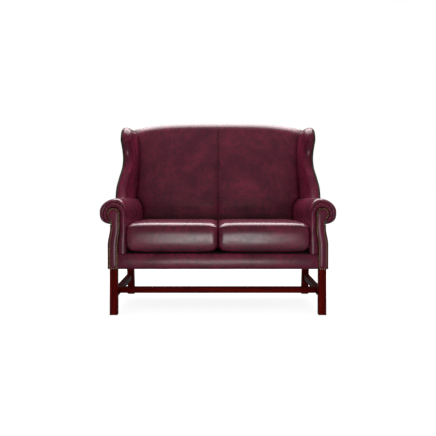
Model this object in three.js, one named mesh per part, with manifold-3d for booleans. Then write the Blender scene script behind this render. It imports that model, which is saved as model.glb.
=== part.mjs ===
// High back settee: a two-seat wing settee in antique burgundy leather on square mahogany legs.
// Millimetres. X runs along the settee, Y from its front to its back, Z up from the floor.
// Everything beside the middle is drawn once, on the +X side, and mirrored for the other side.
import * as THREE from "three";
import { mergeVertices } from "three/addons/utils/BufferGeometryUtils.js";
import Module from "manifold-3d";

const wasm = await Module();
wasm.setup();

// Fit
const clearance = 0.3; // between pieces that touch
const cutOverrun = 20; // how far a cutting shape runs past what it cuts
const leatherGap = 0.8; // between two stuffed pieces pressed together

// Span
const frameHalfSpan = 602; // middle of the settee to the outer faces of the frame and the rear legs

// Legs and stretchers
const legWidth = 44;
const frontLegOutset = 11.5; // front legs outside the frame
const legHeight = 259; // floor to the underside of the upholstery
const legSetback = 6; // front face of the front legs behind the front of the arms
const legChamfer = 3;
const reedCount = 3; // shallow reeds down the front and outer faces of a front leg
const reedDepth = 1.4;
const stretcherWidth = 33;
const stretcherHeight = 33;
const stretcherLift = 105; // floor to the underside of the stretchers
const stretcherInset = 12.5; // outer face of a side stretcher inside that of the front leg
const crossStretcherSetback = 64; // from the front legs' rear faces to the cross stretcher
const crossStretcherDepth = 37;

// Seat frame
const seatFrameDepth = 567; // front of the arms to the front face of the rear posts
const railHeight = 82;
const railThickness = 28;
const cornerPostWidth = 30;
const frontCoverThickness = 19;
const frontCoverRoundness = 7;
const frontCoverRise = 6; // over the top of the front rail
const dustCoverThickness = 1.6;
const dustCoverMargin = 8; // its edge inside the outer faces of the side rails
const braceWidth = 30;
const braceHeight = 45;
const cornerBlockLeg = 46;
const cornerBlockHeight = 40;

// Springs: flat zigzags of wire from the front rail to the rear rail
const springCount = 8;
const springWireDiameter = 3.8;
const springLoopCount = 9;
const springLoopWidth = 46;

// Seat platform and cushions
const deckThickness = 11;
const deckSetback = 21; // its front edge behind the front of the arms
const cushionHeight = 131; // between its two rows of stitching, front
const cushionCrown = 27; // rise of its middle over its top stitching
const cushionBellyDrop = 11; // fall of its underside below its lower stitching
const cushionWallBulge = 7;
const cushionWallDrawIn = 3; // how far the stitched edges are drawn in between the corners
const cushionCornerRadius = 26;
const cushionGap = 1.6; // between the two cushions
const cushionSideGap = 1.2; // to the arms and the back
const cushionFrontOverhang = 3; // past the front of the arms

// Arms: a padded inside, a scroll on top, and a keyhole facing closing the front
const armRise = 320; // seat frame top to the top of the scroll
const scrollOverhang = 69; // outermost point of a scroll outside the frame
const scrollRadius = 79; // to its outside and its top
const scrollDrop = 66; // from its middle to its underside
const scrollEdgeRadius = 17; // rounding of its front edge
const scrollFrontSetback = 9;
const scrollUndersideGap = 8; // its underside stops this far outside the frame
const armTopFall = 18; // how much lower the arm is at its rear
const armInnerDrift = 32; // how far its inner side comes in towards the rear
const armOuterDrift = 8;
const armRailWidth = 41;
const armRailHeight = 60;
const armRailBelowTop = 81;
const armBoardThickness = 4;
const insideArmStart = 8; // seat frame top to the lower edge of the inside arm

// The keyhole facing, drawn as its line of nails
const headRadius = 32.5;
const headBelowArmTop = 89; // arm top to the middle of the keyhole's head
const neckWidth = 39.7;
const baseWidth = 41;
const baseOutset = 13; // how far the foot of the facing stands outside its neck
const neckBelowHead = 80; // middle of the head to the middle of the neck
const neckBend = 95; // height of the bend between neck and foot
const facingMargin = 4; // leather outside the nails
const facingThickness = 14;
const facingSoftness = 4;
const stumpThickness = 26;
const stumpInset = 4;

// The gathered border round the facing
const borderReach = 26; // past the nails, over the top and the outside of the scroll
const borderInnerReach = 37.5; // past the nails, beside the cushion
const borderDepth = 32;
const borderSetback = 3;
const borderBulge = 7;
const pleatCount = 9;
const pleatDepth = 1.6;
const borderHeadLift = 7; // how much further the border reaches over the top than beside the head
const borderEndAngle = -1.05; // radians below level where the pleats stop under the scroll
const shoulderAngle = -0.6; // radians below level where the keyhole's head meets its neck

// Outside arms
const sideSkin = 10.6; // outer face of the outside arm beyond the nails of the facing
const outsideArmThickness = 10;

// Back
const backLean = 0.1853; // rise to run of the back, from the seat frame up
const legRake = 0.2137; // the same for the rear legs, from the seat frame down
const backRise = 478.6; // arm top to the top of the back in the middle
const backPadThickness = 51;
const backCrown = 13; // swell of each back panel
const backSeamDepth = 7; // how far the middle seam is drawn in
const backSeamSpread = 21; // how far from the seam the draw reaches
const backShoulderFall = 46; // fall of the top line from the middle to the wings
const backRollRadius = 30;
const outsideBackThickness = 8;
const outsideBackTuck = 4; // its top edge below the roll
const backRailHeight = 62;
const backRailThickness = 26;
const centreUprightWidth = 58;
const crestGap = 1.2; // between the wood of the back and the roll over it
const pullThroughGap = 45; // open space between the seat frame and the lower back rail
const strapTackLength = 16; // how far the cross straps lap onto the rear posts
const strapWidth = 48;
const strapThickness = 2;
const strapColumns = 4; // each side of the middle upright
const strapRows = 4;

// Wings
const wingRise = 438; // arm top to the top of the ear
const wingFlare = 22; // how far its front leans out beyond its rear
const wingOutset = 10.6; // outside of a wing, at its rear, outside the frame
const wingNoseWidth = 58;
const wingNoseLength = 34;
const wingInnerDepth = 73; // frame's outer face to the wings' inner faces where they stand closest
const wingInnerSwell = 10;
const wingBoardThickness = 16;
const wingBoardInset = 8; // its outer face inside that of the frame
const wingBoardEdgeInset = 24; // from the padded edge to the board
const wingNailInset = 12; // from the padded edge to the outside cover
const earRoundness = 42;
const wingTopSlope = 9; // fall of its top edge from the ear to the back

// Shares chosen by hand
const wingFrontShares = [ // height share of the wing, depth share of the seat frame
  [-0.142, 0.487],
  [0, 0.529],
  [0.24, 0.655],
  [0.44, 0.8],
  [0.565, 0.829],
  [0.7, 0.785],
  [0.82, 0.722],
  [0.893, 0.7055],
];
const crownRingShares = [1, 0.96, 0.9, 0.81, 0.68, 0.5, 0.27, 0.06];
const wallRingShares = [0.14, 0.34, 0.5, 0.66, 0.86]; // heights of a cushion's wall
const wallSideShares = [0.25, 0.5, 0.75]; // places along each side of a cushion
const softEdgeShares = [1, 0.35, 0]; // round a soft edge, from its side to its front
const wingFlareLengthShare = 0.32; // of the seat depth, over which the wing flares
const wingFlareStartShare = 0.847;
const junctionTopShare = 0.055; // how far the wings part again at the top, of their inner half span
const junctionLowShare = 0.017;
const leastEarShare = 1e-7; // height to width of the flattest triangle that a cap is made of
const junctionWaistShare = 0.46; // height of the narrowest place, of the wing
const earEndShare = 0.22; // how full the wing still is at the top of its ear
const seamStartShare = 0.02; // first station beside the middle seam
const fullnessStartShare = 0.05; // how full a back panel is at its foot and its top
const fullnessRunShare = 1.1;
const strapSpanShare = 0.84; // of the free field beside the middle upright

// Powers that shape a curve: the higher, the squarer
const crownPower = 2.8; // crown of a cushion
const bellyPower = 7; // underside of a cushion, flat where it rests
const wallPower = 0.7; // wall of a cushion
const shoulderPower = 4; // top line of the back
const backSwellPower = 0.6; // across a back panel
const backFullnessPower = 0.5; // up a back panel
const wingFlarePower = 1.7;
const junctionPower = 3; // line where a wing meets the back

// How finely curves are drawn
const cornerSteps = 3;
const bendSteps = 6; // bend of a facing
const filletSteps = 5;
const headSteps = 14;
const pleatSteps = 4;
const borderSteps = 8;
const borderSectionSteps = 6;
const armArcSteps = 22;
const armEdgeSteps = 4;
const armSteps = 7;
const outsideArmSteps = 5;
const backPanelSteps = 11;
const backRiseSteps = 12;
const backRollSteps = 10;
const crestSteps = 16;
const wingSteps = 14;
const earSteps = 6;
const noseSteps = 8;
const wingSideSteps = 5;
const springLoopSteps = 4;
const scrollCornerShare = 0.84; // below 1, how square the underside of the scroll is
const springSpanShare = 0.84; // of the seat width

// Heights and places that follow
const legHalfSpan = frameHalfSpan + frontLegOutset;
const armHalfSpan = frameHalfSpan + scrollOverhang;
const wingHalfSpan = frameHalfSpan + wingOutset;
const wingInnerHalfSpan = frameHalfSpan - wingInnerDepth;
const wingBoardOutside = frameHalfSpan - wingBoardInset;
const railTop = legHeight + railHeight;
const frontCoverTop = railTop + frontCoverRise;
const railBottom = legHeight + 2 * clearance + dustCoverThickness;
const springHeight = railTop + clearance + springWireDiameter / 2;
const deckBottom = railTop + springWireDiameter + 2 * clearance;
const deckTop = deckBottom + deckThickness;
const armTop = railTop + armRise;
const wingTop = armTop + wingRise;
const backTop = armTop + backRise;
const scrollX = armHalfSpan - scrollRadius;
const scrollZ = armTop - scrollRadius;
const headX = scrollX + clearance;
const headZ = armTop - headBelowArmTop;
const innerSideX = headX - headRadius - borderInnerReach; // inner side of the arm, front
const railInnerX = frameHalfSpan - railThickness;
const cornerPostBack = legSetback + legWidth;
const armFrontX = innerSideX + leatherGap; // the padding starts just outside the border
const armRailOuterX = frameHalfSpan;
const armRailInnerX = armRailOuterX - armRailWidth;
const armRailTop = armTop - armRailBelowTop;
const armRailBottom = armRailTop - armRailHeight;
const stumpFront = facingThickness + clearance;
const stumpBack = stumpFront + stumpThickness;
const rearPostInnerX = frameHalfSpan - legWidth;
const webbingDepth = 2 * strapThickness + 3 * clearance; // room for the straps before the posts

// Colours
const leatherFinish = { color: "#5b2030", roughness: 0.42, metalness: 0 };
const woodFinish = { color: "#3d0f0b", roughness: 0.35, metalness: 0 };
const frameFinish = { color: "#c19a6b", roughness: 0.8, metalness: 0 };
const steelFinish = { color: "#8b8d90", roughness: 0.45, metalness: 1 };
const clothFinish = { color: "#1c1b1d", roughness: 0.95, metalness: 0 };
const webbingFinish = { color: "#a98a5c", roughness: 0.95, metalness: 0 };

const settee = new THREE.Group();

// Basic tools

const mix = (from, to, share) => from + (to - from) * share;

function softStep(share) {
  const t = Math.min(1, Math.max(0, share));
  return t * t * (3 - 2 * t);
}

// The Y of the back frame's front face at a height: raked below the seat frame, leaning above it.
function backLineY(z) {
  if (z < legHeight) return seatFrameDepth + (legHeight - z) * legRake;
  if (z < railTop) return seatFrameDepth;
  return seatFrameDepth + (z - railTop) * backLean;
}

// Turns a list of rings with equal point counts into a closed skin, capped at both ends.
function skin(rings) {
  const count = rings[0].length;
  const positions = rings.flat().flatMap((point) => [point.x, point.y, point.z]);
  const faces = [];
  for (let r = 0; r + 1 < rings.length; r++)
    for (let i = 0; i < count; i++) {
      const a = r * count + i;
      const b = r * count + ((i + 1) % count);
      faces.push(a, b, b + count, a, b + count, a + count);
    }
  for (const [ring, first, turned] of [
    [rings[0], 0, true],
    [rings.at(-1), (rings.length - 1) * count, false],
  ])
    for (const [a, b, c] of capOf(ring))
      faces.push(first + a, first + (turned ? c : b), first + (turned ? b : c));
  const geometry = new THREE.BufferGeometry();
  geometry.setAttribute("position", new THREE.Float32BufferAttribute(positions, 3));
  geometry.setIndex(faces);
  return facingOut(geometry);
}

// Triangles of a flat ring, wound the same way round as its points.
function capOf(ring) {
  const origin = ring[0];
  const normal = new THREE.Vector3();
  ring.forEach((point, i) => {
    const a = point.clone().sub(origin);
    normal.add(a.cross(ring[(i + 1) % ring.length].clone().sub(origin)));
  });
  normal.normalize();
  const side = Math.abs(normal.z) > 0.8 ? new THREE.Vector3(1, 0, 0) : new THREE.Vector3(0, 0, 1);
  const across = side.sub(normal.clone().multiplyScalar(side.dot(normal))).normalize();
  const up = normal.clone().cross(across);
  const flat = ring.map((point) => {
    const a = point.clone().sub(origin);
    return new THREE.Vector2(a.dot(across), a.dot(up));
  });
  return earsOf(flat);
}

// Ear clipping that keeps the points on straight stretches, because the side faces use them.
function earsOf(points) {
  const twice = (a, b, c) => (b.x - a.x) * (c.y - a.y) - (b.y - a.y) * (c.x - a.x);
  const left = points.map((_, i) => i);
  const faces = [];
  while (left.length > 3) {
    let best = { shape: 0 };
    left.forEach((tip, k) => {
      const before = left.at(k - 1);
      const after = left[(k + 1) % left.length];
      const corner = [points[before], points[tip], points[after]];
      const area = twice(...corner);
      const longest = Math.max(...corner.map((p, i) => p.distanceToSquared(corner[(i + 1) % 3])));
      const shape = area / longest;
      if (shape <= Math.max(best.shape, leastEarShare)) return;
      const held = left.some(
        (other) =>
          ![before, tip, after].includes(other) &&
          corner.every((p, i) => twice(p, corner[(i + 1) % 3], points[other]) >= 0),
      );
      if (!held) best = { shape, k, face: [before, tip, after] };
    });
    if (!best.face) throw new Error("an outline crosses itself");
    faces.push(best.face);
    left.splice(best.k, 1);
  }
  return [...faces, left];
}

// Turns every face of a closed geometry round if it encloses a negative volume.
function facingOut(geometry) {
  const position = geometry.getAttribute("position");
  const index = geometry.index.array;
  const [a, b, c] = [new THREE.Vector3(), new THREE.Vector3(), new THREE.Vector3()];
  let volume = 0;
  for (let i = 0; i < index.length; i += 3) {
    a.fromBufferAttribute(position, index[i]);
    b.fromBufferAttribute(position, index[i + 1]);
    c.fromBufferAttribute(position, index[i + 2]);
    volume += a.dot(b.cross(c));
  }
  if (volume < 0)
    for (let i = 0; i < index.length; i += 3)
      [index[i + 1], index[i + 2]] = [index[i + 2], index[i + 1]];
  return geometry;
}

function loftAlongX(stations, sectionAt) {
  return skin(stations.map((x) => sectionAt(x).map(([y, z]) => new THREE.Vector3(x, y, z))));
}

function loftAlongY(stations, sectionAt) {
  return skin(stations.map((y) => sectionAt(y).map(([x, z]) => new THREE.Vector3(x, y, z))));
}

function loftAlongZ(stations, sectionAt) {
  return skin(stations.map((z) => sectionAt(z).map(([x, y]) => new THREE.Vector3(x, y, z))));
}

// A straight bar from x0 to x1 whose outline is a list of [y, z].
const barAlongX = (outline, x0, x1) => loftAlongX([x0, x1], () => outline);

// A plate from y0 to y1 whose outline is a list of [x, z].
const plateAlongY = (outline, y0, y1) => loftAlongY([y0, y1], () => outline);

function box([x0, x1], [y0, y1], [z0, z1]) {
  const block = new THREE.BoxGeometry(x1 - x0, y1 - y0, z1 - z0);
  return block.translate((x0 + x1) / 2, (y0 + y1) / 2, (z0 + z1) / 2);
}

function solidOf(geometry) {
  const bare = geometry.clone();
  bare.deleteAttribute("normal");
  bare.deleteAttribute("uv");
  const merged = mergeVertices(bare);
  return new wasm.Manifold(
    new wasm.Mesh({
      numProp: 3,
      vertProperties: merged.attributes.position.array,
      triVerts: new Uint32Array(merged.index.array),
    }),
  );
}

function geometryOf(solid) {
  const mesh = solid.getMesh();
  const geometry = new THREE.BufferGeometry();
  geometry.setAttribute("position", new THREE.Float32BufferAttribute(mesh.vertProperties, 3));
  geometry.setIndex(Array.from(mesh.triVerts));
  return geometry;
}

function cut(geometry, ...cutters) {
  let solid = solidOf(geometry);
  for (const cutter of cutters) solid = solid.subtract(solidOf(cutter));
  return geometryOf(solid);
}

function join(...geometries) {
  let solid = solidOf(geometries[0]);
  for (const geometry of geometries.slice(1)) solid = solid.add(solidOf(geometry));
  return geometryOf(solid);
}

function common(geometry, other) {
  return geometryOf(solidOf(geometry).intersect(solidOf(other)));
}

function add(name, geometry, finish, parent = settee) {
  const shaded = geometry.index ? geometry.toNonIndexed() : geometry;
  shaded.computeVertexNormals();
  const mesh = new THREE.Mesh(shaded, new THREE.MeshStandardMaterial(finish));
  mesh.name = name;
  parent.add(mesh);
}

const even = (from, to, steps) =>
  Array.from({ length: steps + 1 }, (_, i) => mix(from, to, i / steps));

// Legs

// A square section with its corners cut, and reeds on its outer (+X) and front (-Y) faces.
function reededSection(x0, y0, width) {
  const points = [];
  const reedPitch = (width - 2 * legChamfer) / (2 * reedCount);
  const reeded = (at) => {
    for (let i = 0; i <= 2 * reedCount; i++) {
      const depth = i % 2 ? 0 : reedDepth;
      points.push(at(legChamfer + i * reedPitch, i && i < 2 * reedCount ? depth : 0));
    }
  };
  reeded((along, depth) => [x0 + along, y0 + depth]);
  reeded((along, depth) => [x0 + width - depth, y0 + along]);
  points.push([x0 + width - legChamfer, y0 + width]);
  points.push([x0 + legChamfer, y0 + width]);
  points.push([x0, y0 + width - legChamfer]);
  points.push([x0, y0 + legChamfer]);
  return points;
}

function frontLeg() {
  const shaft = reededSection(legHalfSpan - legWidth, legSetback, legWidth);
  const overlap = legChamfer;
  return join(
    loftAlongZ([0, legHeight - clearance], () => shaft),
    box(
      [frameHalfSpan - cornerPostWidth, frameHalfSpan],
      [stumpFront, cornerPostBack],
      [legHeight - clearance - overlap, railTop],
    ),
  );
}

// One timber from the floor to the shoulder of the back, bent where it passes the seat frame.
function rearLeg() {
  const top = topRailTop(frameHalfSpan);
  const heights = [0, legHeight, railTop, top];
  const front = heights.map((z) => [backLineY(z), z]);
  const rear = heights.map((z) => [backLineY(z) + legWidth, z]).reverse();
  return barAlongX([...front, ...rear], rearPostInnerX, frameHalfSpan);
}

const stretcherTop = stretcherLift + stretcherHeight;
const sideStretcherOuterX = legHalfSpan - stretcherInset;
const sideStretcherInnerX = sideStretcherOuterX - stretcherWidth;

function sideStretcher() {
  const outline = [
    [cornerPostBack + clearance, stretcherLift],
    [backLineY(stretcherLift) - clearance, stretcherLift],
    [backLineY(stretcherTop) - clearance, stretcherTop],
    [cornerPostBack + clearance, stretcherTop],
  ];
  return barAlongX(outline, sideStretcherInnerX, sideStretcherOuterX);
}

function crossStretcher() {
  const front = cornerPostBack + crossStretcherSetback;
  const reach = sideStretcherInnerX - clearance;
  return box([-reach, reach], [front, front + crossStretcherDepth], [stretcherLift, stretcherTop]);
}

// Seat frame

const railFront = frontCoverThickness + clearance;
const railSpanX = frameHalfSpan - cornerPostWidth - clearance;
const rearRailFront = seatFrameDepth + (legWidth - railThickness) / 2;

const frontRail = () =>
  box([-railSpanX, railSpanX], [railFront, railFront + railThickness], [railBottom, railTop]);

function rearRail() {
  const reach = rearPostInnerX - clearance;
  return box([-reach, reach], [rearRailFront, rearRailFront + railThickness], [railBottom, railTop]);
}

const sideRail = () =>
  box(
    [railInnerX, frameHalfSpan],
    [cornerPostBack + clearance, seatFrameDepth - clearance],
    [railBottom, railTop],
  );

const seatBrace = () =>
  box(
    [-braceWidth / 2, braceWidth / 2],
    [railFront + railThickness + clearance, rearRailFront - clearance],
    [railBottom + clearance, railBottom + clearance + braceHeight],
  );

// A three-cornered block glued into a corner of the seat frame, reaching forwards or backwards.
function cornerBlock(y, way) {
  const z0 = railBottom + (railHeight - cornerBlockHeight) / 2;
  const outer = frameHalfSpan - cornerPostWidth - clearance;
  return loftAlongZ([z0, z0 + cornerBlockHeight], () => [
    [outer, y],
    [outer, y + way * cornerBlockLeg],
    [outer - cornerBlockLeg, y],
  ]);
}

const frontCornerBlock = () => cornerBlock(railFront + railThickness + clearance, 1);
const rearCornerBlock = () => cornerBlock(seatFrameDepth - clearance, -1);

// Black cloth under the seat frame, notched round the four legs.
function dustCover() {
  const z0 = legHeight + clearance;
  const front = legHalfSpan - legWidth - clearance;
  const middle = frameHalfSpan - dustCoverMargin;
  const rear = rearPostInnerX - clearance;
  const half = [
    [front, railFront],
    [front, cornerPostBack + clearance],
    [middle, cornerPostBack + clearance],
    [middle, seatFrameDepth - clearance],
    [rear, seatFrameDepth - clearance],
    [rear, rearRailFront + railThickness],
  ];
  const otherHalf = half.map(([x, y]) => [-x, y]).reverse();
  return loftAlongZ([z0, z0 + dustCoverThickness], () => [...half, ...otherHalf]);
}

// The leather over the front rail, softly rounded along both long edges.
function frontRailCover() {
  const r = frontCoverRoundness;
  const z0 = legHeight;
  const z1 = frontCoverTop;
  const quarter = (z, from) =>
    even(from, from + Math.PI / 2, cornerSteps).map((a) => [r + r * Math.cos(a), z + r * Math.sin(a)]);
  const outline = [
    [frontCoverThickness, z0],
    [frontCoverThickness, z1],
    ...quarter(z1 - r, Math.PI / 2),
    ...quarter(z0 + r, Math.PI),
  ];
  const reach = facingInnerX(z0) - facingMargin - clearance;
  return barAlongX(outline, -reach, reach);
}

// Springs

function springPlaces() {
  const half = (railSpanX - springLoopWidth) * springSpanShare;
  return even(-half, half, springCount - 1);
}

// One wire snaking from rail to rail: a sideways wave, with a square section set across its path.
function springAt(x) {
  const start = railFront + springWireDiameter;
  const end = rearRailFront + railThickness - springWireDiameter;
  const turns = springLoopCount * Math.PI;
  const half = springLoopWidth / 2;
  const at = (share) => new THREE.Vector2(x + half * Math.sin(turns * share), mix(start, end, share));
  const r = springWireDiameter / 2;
  const rings = even(0, 1, springLoopSteps * springLoopCount).map((share) => {
    const slope = new THREE.Vector2(half * turns * Math.cos(turns * share), end - start).normalize();
    const here = at(share);
    return [
      [r, 0],
      [0, r],
      [-r, 0],
      [0, -r],
    ].map(
      ([side, up]) =>
        new THREE.Vector3(here.x + side * slope.y, here.y - side * slope.x, springHeight + up),
    );
  });
  return skin(rings);
}

// Outline of the facing

const neckMidZ = headZ - neckBelowHead;
const footTopZ = neckMidZ - neckBend;

// The inner and outer nail lines of the facing below its head.
function facingInnerX(z) {
  const neckX = headX - headRadius;
  const baseX = neckX + baseOutset - (baseWidth - neckWidth) / 2;
  return mix(baseX, neckX, softStep((z - footTopZ) / neckBend));
}

function facingOuterX(z) {
  const neckX = headX - headRadius + neckWidth;
  const baseX = neckX + baseOutset + (baseWidth - neckWidth) / 2;
  return mix(baseX, neckX, softStep((z - footTopZ) / neckBend));
}

// The whole keyhole as [x, z], grown outwards from the line of nails.
function keyhole(bottom, grow) {
  const outer = [bottom, ...even(footTopZ, neckMidZ, bendSteps)].map((z) => [facingOuterX(z) + grow, z]);
  const neckTop = new THREE.Vector2(facingOuterX(headZ) + grow, neckMidZ);
  const shoulder = new THREE.Vector2(
    headX + (headRadius + grow) * Math.cos(shoulderAngle),
    headZ + (headRadius + grow) * Math.sin(shoulderAngle),
  );
  const bend = new THREE.Vector2(neckTop.x, headZ - headRadius - grow / 2);
  const fillet = new THREE.QuadraticBezierCurve(neckTop, bend, shoulder)
    .getPoints(filletSteps)
    .slice(1, -1)
    .map((p) => [p.x, p.y]);
  const head = even(shoulderAngle, Math.PI, headSteps).map((a) => [
    headX + (headRadius + grow) * Math.cos(a),
    headZ + (headRadius + grow) * Math.sin(a),
  ]);
  const inner = [...even(neckMidZ, footTopZ, bendSteps), bottom].map((z) => [facingInnerX(z) - grow, z]);
  return [...outer, ...fillet, ...head, ...inner];
}

// A keyhole panel whose front edge is rounded over by softness.
function softPanel(bottom, grow, y0, thickness, softness) {
  const stations = softEdgeShares.map((share) => [
    y0 + softness * (1 - Math.sin((share * Math.PI) / 2)),
    grow - softness * (1 - Math.cos((share * Math.PI) / 2)),
  ]);
  const rings = stations.map(([y, g]) => keyhole(bottom, g).map(([x, z]) => [x, y, z]));
  rings.push(keyhole(bottom, grow).map(([x, z]) => [x, y0 + thickness, z]));
  return skin(rings.map((ring) => ring.map(([x, y, z]) => new THREE.Vector3(x, y, z))));
}

const armFacing = () =>
  softPanel(legHeight, facingMargin, 0, facingThickness, facingSoftness);

const armStump = () =>
  plateAlongY(keyhole(railTop + clearance, -stumpInset), stumpFront, stumpBack);

// The border round the facing

const borderBottom = frontCoverTop + clearance;

// Matching places on the outer and inner edges of the border, from the cushion round the scroll.
function borderPath(grow) {
  const straight = even(borderBottom, headZ, borderSteps).map((z) => ({
    outer: [innerSideX - grow, z],
    inner: [facingInnerX(z) - facingMargin - clearance + grow, z],
    pleat: 0,
  }));
  const steps = pleatSteps * pleatCount;
  const endAngle = borderEndAngle - (grow * 2) / headRadius;
  const round = even(Math.PI, endAngle, steps).slice(1).map((a, i) => {
    const reachX = a > Math.PI / 2 ? borderInnerReach : borderReach;
    const width = headRadius + reachX + grow;
    const height = headRadius + borderReach + grow + (borderHeadLift * (1 + Math.sin(a))) / 2;
    const inner = headRadius + facingMargin + clearance - grow;
    return {
      outer: [headX + width * Math.cos(a), headZ + height * Math.sin(a)],
      inner: [headX + inner * Math.cos(a), headZ + inner * Math.sin(a)],
      pleat: (i + 1) % pleatSteps ? 0 : 1,
    };
  });
  return [...straight, ...round];
}

function armBorder() {
  const sectionShares = even(0, 1, borderSectionSteps);
  const rings = borderPath(0).map(({ outer, inner, pleat }) => {
    const front = sectionShares.map((t) => {
      const depth = borderBulge * Math.sin(Math.PI * t) - pleat * pleatDepth * Math.sin(Math.PI * t);
      return new THREE.Vector3(
        mix(outer[0], inner[0], t),
        borderSetback + borderBulge - depth,
        mix(outer[1], inner[1], t),
      );
    });
    const back = borderSetback + borderDepth;
    return [
      ...front,
      new THREE.Vector3(inner[0], back, inner[1]),
      new THREE.Vector3(outer[0], back, outer[1]),
    ];
  });
  const facing = keyhole(borderBottom - cutOverrun, facingMargin + clearance);
  return cut(skin(rings), plateAlongY(facing, -cutOverrun, stumpBack + clearance));
}

// What the border and the facing take out of the front of the scroll.
function borderCutter() {
  const path = borderPath(leatherGap / 2);
  const outline = [...path.map((p) => p.outer), ...path.map((p) => p.inner).reverse()];
  const hole = keyhole(borderBottom - cutOverrun, facingMargin + leatherGap);
  const back = borderSetback + borderDepth + clearance;
  return join(
    plateAlongY(outline, -cutOverrun, back),
    plateAlongY(hole, -cutOverrun, stumpBack + clearance),
  );
}

// Arms

// The outline of the arm's padding at a depth, as [x, z], from its inner foot over the scroll.
function armOutline(y, grow) {
  const share = Math.max(0, (y - scrollFrontSetback) / (seatFrameDepth - scrollFrontSetback));
  const inset = edgeInset(y - scrollFrontSetback) - grow;
  const innerX = mix(armFrontX, innerSideX - armInnerDrift, share) + Math.min(inset, 0);
  const outerX = armHalfSpan - armOuterDrift * share - inset;
  const topZ = armTop - armTopFall * share - inset;
  const midX = (innerX + outerX) / 2;
  const radiusX = (outerX - innerX) / 2;
  const radiusZ = topZ - scrollZ;
  const inward = (frameHalfSpan + scrollUndersideGap - midX) / radiusX;
  const under = Math.acos(inward ** (1 / scrollCornerShare));
  const arc = even(Math.PI, -under, armArcSteps).map((a) => {
    if (a >= 0) return [midX + radiusX * Math.cos(a), scrollZ + radiusZ * Math.sin(a)];
    const out = Math.cos(a) ** scrollCornerShare;
    const down = Math.abs(Math.sin(a)) ** scrollCornerShare;
    return [midX + radiusX * out, scrollZ - (scrollDrop - inset) * down];
  });
  return { foot: [innerX, railTop + insideArmStart], arc };
}

// How far a rounded edge stands back at a distance behind its foremost point.
function edgeInset(distance) {
  if (distance >= scrollEdgeRadius) return 0;
  const rest = scrollEdgeRadius - Math.max(0, distance);
  return scrollEdgeRadius - Math.sqrt(scrollEdgeRadius ** 2 - rest ** 2);
}

const armStations = [
  ...even(0, scrollEdgeRadius, armEdgeSteps).map((d) => scrollFrontSetback + d),
  ...even(stumpBack + clearance, seatFrameDepth - armInnerDrift, armSteps),
];

// Lofts an arm through its stations to the rear of the leaning back posts, and past it if asked.
function armLoft(sectionAt, overrun) {
  const rings = armStations.map((y) => sectionAt(y).map(([x, z]) => new THREE.Vector3(x, y, z)));
  const leaningY = (z) => seatFrameDepth + (z - railTop) * backLean + legWidth;
  for (const further of overrun ? [0, overrun] : [0])
    rings.push(
      sectionAt(seatFrameDepth).map(([x, z]) => new THREE.Vector3(x, leaningY(z) + further, z)),
    );
  return skin(rings);
}

// Everything between the outer faces of the rear posts and behind the padding of the back.
function backZone() {
  const z0 = legHeight - cutOverrun;
  const z1 = backTop + cutOverrun;
  const frontAt = (z) => backLineY(z) - webbingDepth;
  const outline = [
    [frontAt(legHeight), z0],
    [frontAt(railTop), railTop],
    [frontAt(z1), z1],
    [frontAt(z1) + 2 * legWidth, z1],
    [frontAt(z1) + 2 * legWidth, z0],
  ];
  const reach = frameHalfSpan + clearance;
  return barAlongX(outline, -reach, reach);
}

// Padding and cover of the arm: the inside of the arm, the scroll and its underside.
function insideArm() {
  const slot = armRailTop + clearance;
  const padBack = armRailInnerX - armBoardThickness - 2 * clearance;
  const body = armLoft((y) => {
    const { foot, arc } = armOutline(y, 0);
    const last = arc.at(-1);
    return [
      foot,
      ...arc,
      [armRailOuterX + clearance, last[1]],
      [armRailOuterX + clearance, slot],
      [padBack, slot],
      [padBack, foot[1]],
    ];
  }, 0);
  return cut(body, borderCutter(), backZone());
}

// The arm as one block, to be cut out of what leans on it.
function armBlock(grow) {
  return armLoft((y) => {
    const { foot, arc } = armOutline(y, grow);
    return [[foot[0], foot[1] - cutOverrun], ...arc, [arc.at(-1)[0], foot[1] - cutOverrun]];
  }, cutOverrun);
}

// The arm's top rail, and the thin board between it and the seat frame.
function armRail() {
  const outline = [
    [stumpBack + clearance, armRailBottom],
    [backLineY(armRailBottom) - clearance, armRailBottom],
    [backLineY(armRailTop) - clearance, armRailTop],
    [stumpBack + clearance, armRailTop],
  ];
  return barAlongX(outline, armRailInnerX, armRailOuterX);
}

function armBoard() {
  const outline = [
    [stumpBack + clearance, railTop + clearance],
    [backLineY(railTop) - webbingDepth, railTop + clearance],
    [backLineY(armRailTop) - webbingDepth, armRailTop],
    [stumpBack + clearance, armRailTop],
  ];
  const x1 = armRailInnerX - clearance;
  return barAlongX(outline, x1 - armBoardThickness, x1);
}

// The outside of the arm: flat at the rear, following the waisted facing at the front.
function outsideArm() {
  const top = scrollZ - scrollDrop - leatherGap;
  const heights = [legHeight, ...even(footTopZ, neckMidZ, outsideArmSteps), top];
  const stations = even(stumpFront, seatFrameDepth + legWidth, outsideArmSteps);
  const stump = keyhole(railTop - cutOverrun, clearance - stumpInset);
  const panel = loftAlongY(stations, (y) => {
    const share = softStep((y - stumpFront) / seatFrameDepth);
    const outer = heights.map((z) => {
      const front = facingOuterX(z) + sideSkin;
      return [mix(front, frameHalfSpan + outsideArmThickness, share), z];
    });
    return [...outer, [frameHalfSpan + clearance, top], [frameHalfSpan + clearance, legHeight]];
  });
  return cut(panel, plateAlongY(stump, -cutOverrun, stumpBack + clearance));
}

// Back

// The top line of the back at a distance from the middle.
function shoulderHeight(x) {
  return backTop - backShoulderFall * (Math.abs(x) / rearPostInnerX) ** shoulderPower;
}

// The top of the wood under the roll.
const topRailTop = (x) => shoulderHeight(x) - backRollRadius - crestGap;

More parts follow.
